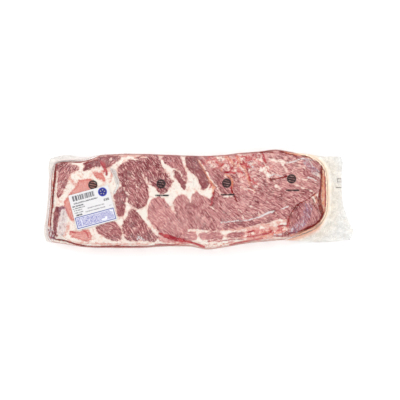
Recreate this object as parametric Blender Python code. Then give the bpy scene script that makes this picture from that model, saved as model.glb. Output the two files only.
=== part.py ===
"""Vacuum pack of a raw rack of pork ribs, lying meat side up, with a price label on the film.

Shapes are worked out in millimetres and scaled to metres when they are put on a mesh. +Z is up,
+X runs along the rack towards the wide sealed tail of the bag, and +Y points to the far long side.
The origin is the middle of the pack's footprint, on the surface that it lies on.
"""

import math

import bmesh
import bpy
import numpy as np
from mathutils import Matrix, Vector

MM = 0.001

# Heights of the filled bag above the table
SEAM_HEIGHT = 9.0          # where the upper film meets the lower one round the meat
SEAM_SWAY = 1.3            # the seam wanders up and down by this much
SEAM_SWAY_LENGTHS = (27.0, 10.4)
END_THICKNESS = 25.0       # meat at the narrow left end
MIDDLE_THICKNESS = 29.0    # meat at the middle of the rack
THICKENS = (-200.0, -60.0)  # the stretch over which it thickens
CROWN = 2.5                # extra rise along the rack's centre line
HALF_WIDTH = 61.0
SHOULDER = 15.0            # width over which the top rounds down to the seam
SHOULDER_POWER = 2.3       # 2 is a round shoulder, higher is squarer
SHOULDER_FLUTES = 0.2      # share by which the bone ends vary that width
HEEL = 7.0                 # width over which the underside rounds up to the seam

# A lower layer of the rack stands out past the top muscle at both short ends
LIP_WIDTH = 7.0
LIP_EDGE = 4.0             # width of the lip's own rounded edge
LIP_HEIGHT_LEFT = 15.0
LIP_HEIGHT_RIGHT = 18.0
LIP_LEFT_X = -193.0
LIP_RIGHT_X = 160.0
LIP_LEFT_FADE = 12.0       # along the sides the lip runs out over these lengths
LIP_RIGHT_FADE = 30.0

# Film outside the meat: two sheets pressed flat together
FILM_THICKNESS = 0.8
FILM_REST_HEIGHT = 1.6     # height of the tail's middle plane where it lies on the table
FILM_DROOP = 11.0          # distance over which the film comes down from the seam
WRINKLE_HEIGHT = 1.1
WRINKLE_START = (2.0, 16.0)  # the wrinkles grow to full height between these distances
WRINKLE_PITCH = 13.0
WRINKLE_FAN = 0.18         # slant of the folds that run out from the meat
WRINKLE_BEND = (4.0, 17.0)  # how far they wander sideways, and over what length
CROSS_PITCH = 19.0         # smaller folds that cross them
CROSS_SLANT = 0.4
CROSS_SHARE = 0.5
SHELF_GAP = 0.3            # least height of the film tail above the table

# Ribs under the film of the underside
RIB_PITCH = 31.0
RIB_FLAT_SHARE = 0.5       # share of the pitch that a rib's flat crest takes
RIB_SLANT = math.radians(20.0)
RIB_VALLEY = 1.6
RIB_MARGIN = (8.0, 16.0)   # the valleys deepen between these distances inside the meat

# Price label on the film
LABEL_CENTRE = (-146.0, -12.4)
LABEL_WIDTH = 57.0
LABEL_LENGTH = 49.5
LABEL_TURN = math.radians(15.2)
LABEL_CORNER = 1.8
LABEL_THICKNESS = 0.25
LABEL_GAP = 0.35
LABEL_HEIGHT = 27.6        # of the film under the label's centre
LABEL_SLOPE = (0.016, 0.004)
LABEL_MARGIN = 7.0         # the film stays flat this far round the label
LABEL_BLEND = 10.0

# Grid of each film sheet: its lines crowd towards the ends and the sides of the meat
END_LINES = (2.0, 4.0, 6.0, 8.5, 11.0, 14.0, 18.0, 24.0, 31.0)
SIDE_LINES = (1.5, 3.5, 6.0, 9.0, 13.0, 18.0)
MEAT_LENGTH = 384.0
MEAT_WIDTH = 126.0
LENGTH_SPANS = 42          # between the lines that crowd at the two ends
WIDTH_SPANS = 15
FLANGE_SPANS = 2           # of the film past the meat at the left end
TAIL_SPANS = 10            # and at the right end

# The bag's four edges, seen from above
BAG_FAR = ((-209, 58), (-197, 61), (-186, 63), (-172, 61), (-155, 59), (-139, 62), (-97, 64),
           (-55, 63), (1, 61), (32, 62), (57, 65), (83, 67), (106, 70), (127, 67), (148, 64),
           (172, 61), (199, 61))
BAG_NEAR = ((-213, -59), (-197, -61), (-178, -64), (-158, -67), (-125, -68), (-83, -68),
            (-48, -66), (-13, -66), (11, -70), (36, -67), (64, -62), (92, -59), (120, -57),
            (148, -59), (176, -60), (211, -57))
BAG_LEFT = ((-213, -59), (-216, -49), (-216, -39), (-213, -18), (-211, 6), (-210, 31), (-211, 46),
            (-209, 58))
BAG_RIGHT = ((211, -57), (216, -44), (211, -32), (204, -15), (201, 2), (200, 21), (200, 38),
             (202, 52), (199, 61))

# The ends of the meat inside the bag, from the near side to the far one. The film is drawn
# tight along the meat's long sides, between the places that are given by their X here.
MEAT_LEFT = ((-210, -53), (-212, -39), (-210, -18), (-208, 6), (-207, 31), (-202, 49))
MEAT_LEFT_SIDES = (-205, -197)
MEAT_RIGHT = ((146, -48), (165, -38), (175, -25), (179, -8), (179, 21), (176, 42), (166, 55))
MEAT_RIGHT_SIDES = (118, 148)

# A narrow strip of flat film along the far side of the left end
FAR_STRIP = ((-194, 53), (-181, 54), (-160, 55))
FAR_STRIP_END = -138

# Muscles that stand up under the film: (x, y, half length, half width, turn in degrees, rise)
MUSCLES = (
    (-186, 31, 20, 9, 70, 0.9), (-92, 39, 27, 15, -35, 1.6), (-59, 32, 30, 10, -58, 1.6),
    (-85, 1, 17, 13, -45, 1.8), (-110, -6, 20, 8, -80, 1.3), (-82, -40, 25, 14, -60, 1.8),
    (-121, -46, 15, 12, -30, 1.3), (-46, -29, 36, 18, -50, 2.0), (-16, -18, 26, 12, -60, 1.4),
    (9, -15, 20, 12, -50, 1.2), (-25, 38, 21, 8, -60, 1.4), (0, 38, 21, 10, -60, 1.6),
    (25, 34, 21, 8, -60, 1.4), (53, 36, 18, 14, -50, 1.6), (82, 45, 20, 14, 20, 1.8),
    (110, 38, 18, 16, -60, 1.4), (79, -1, 56, 20, 10, 1.6), (143, 28, 26, 22, 20, 1.8),
    (147, -23, 24, 14, 35, 2.4), (-11, -52, 10, 5, 0, 0.9), (17, -52, 13, 6, 0, 1.1),
    (49, -50, 12, 5, 5, 1.0), (77, -46, 12, 5, 12, 1.0),
)

PAD_REACH = 1.25           # a muscle's swelling ends at this many times its half size
PAD_SLOPE = 0.7            # share of the half size over which it falls

# Creases where one muscle laps over the next: (start, end, half width, depth)
CREASES = (
    ((120, -36), (135, -12), 5, 1.6),
    ((135, -12), (165, -1), 5, 2.0),
    ((22, -33), (86, -22), 5, 1.3),
    ((86, -22), (126, -4), 5, 1.3),
    ((-51, -47), (4, -64), 5, 1.6),
    ((-59, 55), (-37, 20), 5, 0.9),
    ((-96, 26), (-59, 5), 5, 0.9),
    ((-82, -19), (-53, -48), 5, 0.9),
)


def smooth_line(points, spans=10):
    """Points along a smooth curve that passes through the given ones, as an array of rows."""
    given = np.array(points, float)
    before = np.vstack([2 * given[0] - given[1], given[:-1]])
    after = np.vstack([given[1:], 2 * given[-1] - given[-2]])
    slopes = (after - before) / 2
    found = []
    for i in range(len(given) - 1):
        for t in np.arange(spans) / spans:
            found.append((2 * t**3 - 3 * t**2 + 1) * given[i] + (t**3 - 2 * t**2 + t) * slopes[i]
                         + (3 * t**2 - 2 * t**3) * given[i + 1] + (t**3 - t**2) * slopes[i + 1])
    found.append(given[-1])
    return np.array(found)


def travelled(line):
    """The share of a line's length that lies before each of its points."""
    steps = np.hypot(*np.diff(line, axis=0).T)
    return np.concatenate([[0.0], np.cumsum(steps)]) / steps.sum()


def along(line, shares):
    """The points of a line at these shares of its length."""
    return np.column_stack([np.interp(shares, travelled(line), line[:, k]) for k in (0, 1)])


def share_at(line, x):
    """The share of a long side's length at which it passes this X."""
    return np.interp(x, line[:, 0], travelled(line))


def distance_inside(loop, points):
    """How far each point lies inside a closed outline. It is negative outside."""
    start, end = loop, np.roll(loop, -1, 0)
    edge = end - start
    nearest = np.full(len(points), np.inf)
    inside = np.zeros(len(points), bool)
    for (ax, ay), (bx, by), (ex, ey) in zip(start, end, edge):
        px, py = points[:, 0] - ax, points[:, 1] - ay
        share = np.clip((px * ex + py * ey) / (ex * ex + ey * ey), 0, 1)
        nearest = np.minimum(nearest, np.hypot(px - share * ex, py - share * ey))
        if ay != by:
            crosses = (ay > points[:, 1]) != (by > points[:, 1])
            inside ^= crosses & (px < ex * (points[:, 1] - ay) / ey)
    return np.where(inside, nearest, -nearest)


def ramp(value, low, high):
    """0 up to low, 1 from high on, and a smooth S between them."""
    t = np.clip((value - low) / (high - low), 0, 1)
    return t * t * (3 - 2 * t)


def rounded(share):
    """The profile of a rounded edge: 0 at its foot, rising steeply, then level at 1."""
    foot = 1 - np.clip(share, 0, 1)
    return (1 - foot**SHOULDER_POWER) ** (1 / SHOULDER_POWER)


def muscle_relief(x, y):
    """How far the muscles lift the film above the plain slab, less the creases between them."""
    relief = np.zeros_like(x)
    for cx, cy, half_length, half_width, turn, rise in MUSCLES:
        cos, sin = math.cos(math.radians(turn)), math.sin(math.radians(turn))
        u = ((x - cx) * cos + (y - cy) * sin) / half_length
        v = ((y - cy) * cos - (x - cx) * sin) / half_width
        relief = np.maximum(relief, rise * ramp(PAD_REACH - np.hypot(u, v), 0, PAD_SLOPE))
    for (ax, ay), (bx, by), half_width, depth in CREASES:
        ex, ey = bx - ax, by - ay
        share = np.clip(((x - ax) * ex + (y - ay) * ey) / (ex * ex + ey * ey), 0, 1)
        away = np.hypot(x - ax - share * ex, y - ay - share * ey)
        relief -= depth * ramp(1 - away / half_width, 0, 1)
    return relief


def label_plane(x, y):
    return (LABEL_HEIGHT + LABEL_SLOPE[0] * (x - LABEL_CENTRE[0])
            + LABEL_SLOPE[1] * (y - LABEL_CENTRE[1]))


def under_label(x, y):
    """1 where the film is pressed flat under the label, falling to 0 round it."""
    cos, sin = math.cos(LABEL_TURN), math.sin(LABEL_TURN)
    dx, dy = x - LABEL_CENTRE[0], y - LABEL_CENTRE[1]
    past_side = np.abs(dx * cos + dy * sin) - LABEL_WIDTH / 2
    past_end = np.abs(dy * cos - dx * sin) - LABEL_LENGTH / 2
    past = np.maximum(past_side, past_end)
    return 1 - ramp(past, LABEL_MARGIN, LABEL_MARGIN + LABEL_BLEND)


def slab_height(x, y):
    """The top of the meat away from its edges."""
    thickness = END_THICKNESS + (MIDDLE_THICKNESS - END_THICKNESS) * ramp(x, *THICKENS)
    thickness += CROWN * np.cos(np.clip(y / HALF_WIDTH, -1, 1) * math.pi / 2)
    height = thickness + muscle_relief(x, y)
    flat = under_label(x, y)
    return height * (1 - flat) + label_plane(x, y) * flat


def across_ribs(x, y):
    """Distance across the slanting ribs, counted in ribs. A whole number is a rib's crest."""
    return (x + y * math.tan(RIB_SLANT)) / RIB_PITCH


def seam_height(x):
    """The height of the seam, with a long and a short sway along the pack."""
    long_sway, short_sway = (np.sin(x / length) for length in SEAM_SWAY_LENGTHS)
    return SEAM_HEIGHT + SEAM_SWAY * (long_sway + short_sway / 2)


def film_wrinkles(x, y):
    """Folds that fan out from the meat over the flat film."""
    fan = y + WRINKLE_FAN * x + WRINKLE_BEND[0] * np.sin(x / WRINKLE_BEND[1])
    cross = x + CROSS_SLANT * y
    return (np.sin(2 * math.pi * fan / WRINKLE_PITCH)
            + CROSS_SHARE * np.sin(2 * math.pi * cross / CROSS_PITCH))


def film_height(x, y, outside):
    """The middle plane of the two sheets of film, this far outside the meat."""
    rise = (seam_height(x) - FILM_REST_HEIGHT) * np.exp(-outside / FILM_DROOP)
    folds = WRINKLE_HEIGHT * ramp(outside, *WRINKLE_START) * film_wrinkles(x, y)
    return np.maximum(FILM_REST_HEIGHT + rise + folds, SHELF_GAP + FILM_THICKNESS / 2)


def top_of_bag(x, y, depth):
    """Height of the upper film. depth is the distance inside the meat's outline."""
    seam = seam_height(x)
    at_end = (1 - ramp(x, LIP_LEFT_X, LIP_LEFT_X + LIP_LEFT_FADE)
              + ramp(x, LIP_RIGHT_X - LIP_RIGHT_FADE, LIP_RIGHT_X))
    shoulder = SHOULDER * (1 + SHOULDER_FLUTES * np.cos(2 * math.pi * across_ribs(x, y)))
    muscle = (slab_height(x, y) - seam) * rounded((depth - LIP_WIDTH * at_end) / shoulder)
    lip_height = np.where(x < 0, LIP_HEIGHT_LEFT, LIP_HEIGHT_RIGHT) - seam
    lip = lip_height * rounded(depth / LIP_EDGE) * at_end
    outside = np.maximum(-depth, 0)
    return np.where(depth > 0, seam + np.maximum(muscle, lip),
                    film_height(x, y, outside)) + FILM_THICKNESS / 2


def rib_valleys(x, y, depth):
    """How far the underside stands off the table between the ribs' flat crests."""
    across = across_ribs(x, y)
    valley = ramp(np.abs(across - np.round(across)), RIB_FLAT_SHARE / 2, 0.5)
    return RIB_VALLEY * valley * ramp(depth, *RIB_MARGIN)


def bottom_of_bag(x, y, depth):
    """Height of the lower film."""
    heel = seam_height(x) - FILM_THICKNESS / 2
    under_meat = heel * (1 - rounded(depth / HEEL)) + rib_valleys(x, y, depth)
    outside = np.maximum(-depth, 0)
    return np.where(depth > 0, under_meat, film_height(x, y, outside) - FILM_THICKNESS / 2)


def crowded_shares(size, edge_lines, middle_spans):
    """Shares of a size at which the grid has a line: close together near both of its ends."""
    first = np.array(edge_lines) / size
    middle = np.linspace(first[-1], 1 - first[-1], middle_spans + 1)
    return np.concatenate([[0], first[:-1], middle, 1 - first[-2::-1], [1]])


def patch(near, far, left, right, u, v):
    """Blends four edge lines over the grid of shares u along the bag and v across it."""
    left, right = along(left, v), along(right, v)
    u, v = u[:, None, None], v[None, :, None]
    corners = ((1 - u) * (1 - v) * near[0] + u * (1 - v) * near[-1]
               + (1 - u) * v * far[0] + u * v * far[-1])
    return ((1 - v) * near[:, None] + v * far[:, None]
            + (1 - u) * left[None, :] + u * right[None, :] - corners)


class Outlines:
    """The edges of the bag and of the meat in it, as lines of closely spaced points."""

    def __init__(self):
        self.near, self.far = smooth_line(BAG_NEAR), smooth_line(BAG_FAR)
        self.ends = [smooth_line(BAG_LEFT), self.meat_end(MEAT_LEFT, MEAT_LEFT_SIDES),
                     self.meat_end(MEAT_RIGHT, MEAT_RIGHT_SIDES), smooth_line(BAG_RIGHT)]

    def on_side(self, side, x):
        return along(side, [share_at(side, x)])[0]

    def meat_end(self, points, sides):
        ends = self.on_side(self.near, sides[0]), self.on_side(self.far, sides[1])
        return smooth_line((ends[0], *points, ends[1]))

    def meat(self):
        """The closed outline of the meat, counterclockwise."""
        near_start, near_end = MEAT_LEFT_SIDES[0], MEAT_RIGHT_SIDES[0]
        near = self.near[(self.near[:, 0] > near_start) & (self.near[:, 0] < near_end)]
        far = self.far[(self.far[:, 0] > FAR_STRIP_END) & (self.far[:, 0] < MEAT_RIGHT_SIDES[1])]
        left = smooth_line((self.on_side(self.near, near_start), *MEAT_LEFT, *FAR_STRIP,
                            self.on_side(self.far, FAR_STRIP_END)))
        return np.vstack([near, self.ends[2][:-1], far[::-1], left[::-1][:-1]])

    def plan(self):
        """Where each grid point lies, seen from above: film, meat and tail, end to end."""
        v = crowded_shares(MEAT_WIDTH, SIDE_LINES, WIDTH_SPANS)
        zones = (np.linspace(0, 1, FLANGE_SPANS + 1),
                 crowded_shares(MEAT_LENGTH, END_LINES, LENGTH_SPANS),
                 np.linspace(0, 1, TAIL_SPANS + 1))
        parts = []
        for zone, (u, left, right) in enumerate(zip(zones, self.ends, self.ends[1:])):
            sides = []
            for side, tip in ((self.near, 0), (self.far, -1)):
                start, end = share_at(side, left[tip][0]), share_at(side, right[tip][0])
                sides.append(along(side, start + (end - start) * u))
            part = patch(*sides, left, right, u, v)
            parts.append(part if zone == 0 else part[1:])
        return np.concatenate(parts)


def add_sheet(mesh, plan, height_at, depth):
    """Adds one film sheet to the mesh as a grid, and returns its rim."""
    columns, rows = plan.shape[:2]
    verts = bmesh.ops.create_grid(mesh, x_segments=columns - 1, y_segments=rows - 1, size=1)["verts"]
    heights = height_at(plan[..., 0], plan[..., 1], depth)
    for vert in verts:
        i = round((vert.co.x + 1) / 2 * (columns - 1))
        j = round((vert.co.y + 1) / 2 * (rows - 1))
        vert.co = Vector((*plan[i, j], heights[i, j])) * MM
    owned = set(verts)
    return [edge for vert in verts for edge in vert.link_edges
            if edge.is_boundary and edge.verts[0] is vert and edge.verts[1] in owned]


def material(name, colour, roughness):
    made = bpy.data.materials.new(name)
    made.use_nodes = True
    shader = made.node_tree.nodes["Principled BSDF"]
    shader.inputs["Base Color"].default_value = (*colour, 1)
    shader.inputs["Roughness"].default_value = roughness
    return made


def add_object(name, mesh, finish):
    data = bpy.data.meshes.new(name)
    mesh.to_mesh(data)
    mesh.free()
    data.materials.append(finish)
    made = bpy.data.objects.new(name, data)
    bpy.context.scene.collection.objects.link(made)
    return made


def filled_bag():
    """The film drawn tight over the rack, with its flat sealed tail, as one solid."""
    outlines = Outlines()
    plan = outlines.plan()
    middle = (plan.min((0, 1)) + plan.max((0, 1))) / 2
    depth = distance_inside(outlines.meat(), plan.reshape(-1, 2)).reshape(plan.shape[:2])
    mesh = bmesh.new()
    rim = add_sheet(mesh, plan, top_of_bag, depth)
    upper = list(mesh.faces)
    rim += add_sheet(mesh, plan, bottom_of_bag, depth)
    lower = [face for face in mesh.faces if face not in set(upper)]
    bmesh.ops.reverse_faces(mesh, faces=lower)
    bmesh.ops.bridge_loops(mesh, edges=rim)
    bmesh.ops.recalc_face_normals(mesh, faces=mesh.faces)
    bmesh.ops.translate(mesh, verts=mesh.verts, vec=(-middle[0] * MM, -middle[1] * MM, 0))
    bag = add_object("vacuum_bag_of_ribs", mesh, material("raw_pork", (0.55, 0.20, 0.18), 0.3))
    bag.data.shade_smooth()
    return middle


def price_label(middle):
    """A thin rounded rectangle that lies on the flat patch of film."""
    mesh = bmesh.new()
    bmesh.ops.create_grid(mesh, x_segments=1, y_segments=1, size=0.5)
    bmesh.ops.scale(mesh, verts=mesh.verts, vec=(LABEL_WIDTH, LABEL_LENGTH, 1))
    bmesh.ops.bevel(mesh, geom=mesh.verts[:], offset=LABEL_CORNER, segments=4, profile=0.5,
                    affect="VERTICES", material=-1)
    bmesh.ops.rotate(mesh, verts=mesh.verts, cent=(0, 0, 0),
                     matrix=Matrix.Rotation(LABEL_TURN, 3, "Z"))
    bmesh.ops.translate(mesh, verts=mesh.verts, vec=(*LABEL_CENTRE, 0))
    lift = FILM_THICKNESS / 2 + LABEL_GAP
    for vert in mesh.verts:
        vert.co.z = label_plane(vert.co.x, vert.co.y) + lift
    top = bmesh.ops.extrude_face_region(mesh, geom=mesh.faces[:])["geom"]
    raised = [part for part in top if isinstance(part, bmesh.types.BMVert)]
    bmesh.ops.translate(mesh, verts=raised, vec=(0, 0, LABEL_THICKNESS))
    bmesh.ops.translate(mesh, verts=mesh.verts, vec=(-middle[0], -middle[1], 0))
    bmesh.ops.scale(mesh, verts=mesh.verts, vec=(MM, MM, MM))
    bmesh.ops.recalc_face_normals(mesh, faces=mesh.faces)
    add_object("price_label", mesh, material("label_paper", (0.86, 0.86, 0.88), 0.5))


def main():
    for old in list(bpy.data.objects):
        bpy.data.objects.remove(old, do_unlink=True)
    middle = filled_bag()
    price_label(middle)


main()
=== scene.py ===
import math
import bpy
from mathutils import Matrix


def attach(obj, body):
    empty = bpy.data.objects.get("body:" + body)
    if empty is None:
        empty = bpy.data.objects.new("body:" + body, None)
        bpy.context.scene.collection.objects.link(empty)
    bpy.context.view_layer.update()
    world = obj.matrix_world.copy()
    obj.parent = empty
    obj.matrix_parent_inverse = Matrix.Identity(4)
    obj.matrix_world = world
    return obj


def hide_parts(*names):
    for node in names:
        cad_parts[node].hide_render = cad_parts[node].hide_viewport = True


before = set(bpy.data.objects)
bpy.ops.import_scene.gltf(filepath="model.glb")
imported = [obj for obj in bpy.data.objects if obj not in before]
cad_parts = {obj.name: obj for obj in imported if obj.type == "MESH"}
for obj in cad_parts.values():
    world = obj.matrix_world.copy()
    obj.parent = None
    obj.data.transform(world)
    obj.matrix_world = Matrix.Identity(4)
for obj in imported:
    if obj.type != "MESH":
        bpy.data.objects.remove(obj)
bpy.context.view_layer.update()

from types import SimpleNamespace

import bmesh
import bpy
import numpy as np
from mathutils import Vector, noise

# Looks of a raw rack of pork ribs in a clear vacuum bag, with a price label on the film.
# Plan sizes and heights are in millimetres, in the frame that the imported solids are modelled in.
# Outlines and lines are rows of x,y pairs.
# The slab of meat and the film round it are two shells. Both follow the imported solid's outline,
# shoulders, muscles, lips and ribs. Colours follow the muscles, seams of fat and creases below.

MM = 0.001
PLAN_SHIFT = (0.21, -0.03)     # from the outlines' own origin to the middle of the footprint

# ---- outline and heights of the pack
SEAM_HEIGHT = 9.0
SEAM_SWAY = 1.3
SEAM_SWAY_LENGTHS = (27.0, 10.4)
END_THICKNESS = 25.0
MIDDLE_THICKNESS = 29.0
THICKENS = (-200.0, -60.0)
CROWN = 2.5
HALF_WIDTH = 61.0
SHOULDER = 15.0
SHOULDER_POWER = 2.3
SHOULDER_FLUTES = 0.2
HEEL = 7.0
LIP_WIDTH = 7.0
LIP_EDGE = 4.0
LIP_HEIGHT_LEFT = 15.0
LIP_HEIGHT_RIGHT = 18.0
LIP_LEFT_X = -193.0
LIP_RIGHT_X = 160.0
LIP_LEFT_FADE = 12.0
LIP_RIGHT_FADE = 30.0
FILM_REST_HEIGHT = 1.6
FILM_DROOP = 11.0
WRINKLE_HEIGHT = 1.1
WRINKLE_START = (2.0, 16.0)
WRINKLE_PITCH = 13.0
WRINKLE_FAN = 0.18
WRINKLE_BEND = (4.0, 17.0)
CROSS_PITCH = 19.0
CROSS_SLANT = 0.4
CROSS_SHARE = 0.5
SHELF_GAP = 0.3
SOLID_FILM = 0.8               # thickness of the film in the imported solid
RIB_PITCH = 31.0
RIB_FLAT_SHARE = 0.5
RIB_SLANT = math.radians(20.0)
RIB_VALLEY = 1.6
RIB_MARGIN = (8.0, 16.0)

BAG_FAR = (-209,58, -197,61, -186,63, -172,61, -155,59, -139,62, -97,64, -55,63, 1,61, 32,62, 57,65,
           83,67, 106,70, 127,67, 148,64, 172,61, 199,61)
BAG_NEAR = (-213,-59, -197,-61, -178,-64, -158,-67, -125,-68, -83,-68, -48,-66, -13,-66, 11,-70, 36,-67,
            64,-62, 92,-59, 120,-57, 148,-59, 176,-60, 211,-57)
BAG_LEFT = (-213,-59, -216,-49, -216,-39, -213,-18, -211,6, -210,31, -211,46, -209,58)
BAG_RIGHT = (211,-57, 216,-44, 211,-32, 204,-15, 201,2, 200,21, 200,38, 202,52, 199,61)
MEAT_LEFT = (-210,-53, -212,-39, -210,-18, -208,6, -207,31, -202,49)
MEAT_LEFT_SIDES = (-205, -197)
MEAT_RIGHT = (146,-48, 165,-38, 175,-25, 179,-8, 179,21, 176,42, 166,55)
MEAT_RIGHT_SIDES = (118, 148)
FAR_STRIP = (-194,53, -181,54, -160,55)
FAR_STRIP_END = -138

# Muscles that stand up under the film: (x, y, half length, half width, turn in degrees, rise)
PADS = (
    (-186, 31, 20, 9, 70, 0.9), (-92, 39, 27, 15, -35, 1.6), (-59, 32, 30, 10, -58, 1.6),
    (-85, 1, 17, 13, -45, 1.8), (-110, -6, 20, 8, -80, 1.3), (-82, -40, 25, 14, -60, 1.8),
    (-121, -46, 15, 12, -30, 1.3), (-46, -29, 36, 18, -50, 2.0), (-16, -18, 26, 12, -60, 1.4),
    (9, -15, 20, 12, -50, 1.2), (-25, 38, 21, 8, -60, 1.4), (0, 38, 21, 10, -60, 1.6),
    (25, 34, 21, 8, -60, 1.4), (53, 36, 18, 14, -50, 1.6), (82, 45, 20, 14, 20, 1.8),
    (110, 38, 18, 16, -60, 1.4), (79, -1, 56, 20, 10, 1.6), (143, 28, 26, 22, 20, 1.8),
    (147, -23, 24, 14, 35, 2.4), (-11, -52, 10, 5, 0, 0.9), (17, -52, 13, 6, 0, 1.1),
    (49, -50, 12, 5, 5, 1.0), (77, -46, 12, 5, 12, 1.0),
)
PAD_REACH = 1.25               # share of a muscle's half size at which it rises from the slab
PAD_SLOPE = 0.7

# Creases where one muscle laps over the next: (start, end, half width, depth)
FOLDS = (
    ((120, -36), (135, -12), 5, 1.6),
    ((135, -12), (165, -1), 5, 2.0),
    ((22, -33), (86, -22), 5, 1.3),
    ((86, -22), (126, -4), 5, 1.3),
    ((-51, -47), (4, -64), 5, 1.6),
    ((-59, 55), (-37, 20), 5, 0.9),
    ((-96, 26), (-59, 5), 5, 0.9),
    ((-82, -19), (-53, -48), 5, 0.9),
)

# The price label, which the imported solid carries
LABEL_CENTRE = (-146.0, -12.4)
LABEL_WIDTH = 57.0
LABEL_LENGTH = 49.5
LABEL_TURN = math.radians(15.2)
LABEL_HEIGHT = 27.6
LABEL_SLOPE = (0.016, 0.004)
LABEL_MARGIN = 7.0
LABEL_BLEND = 10.0

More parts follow.
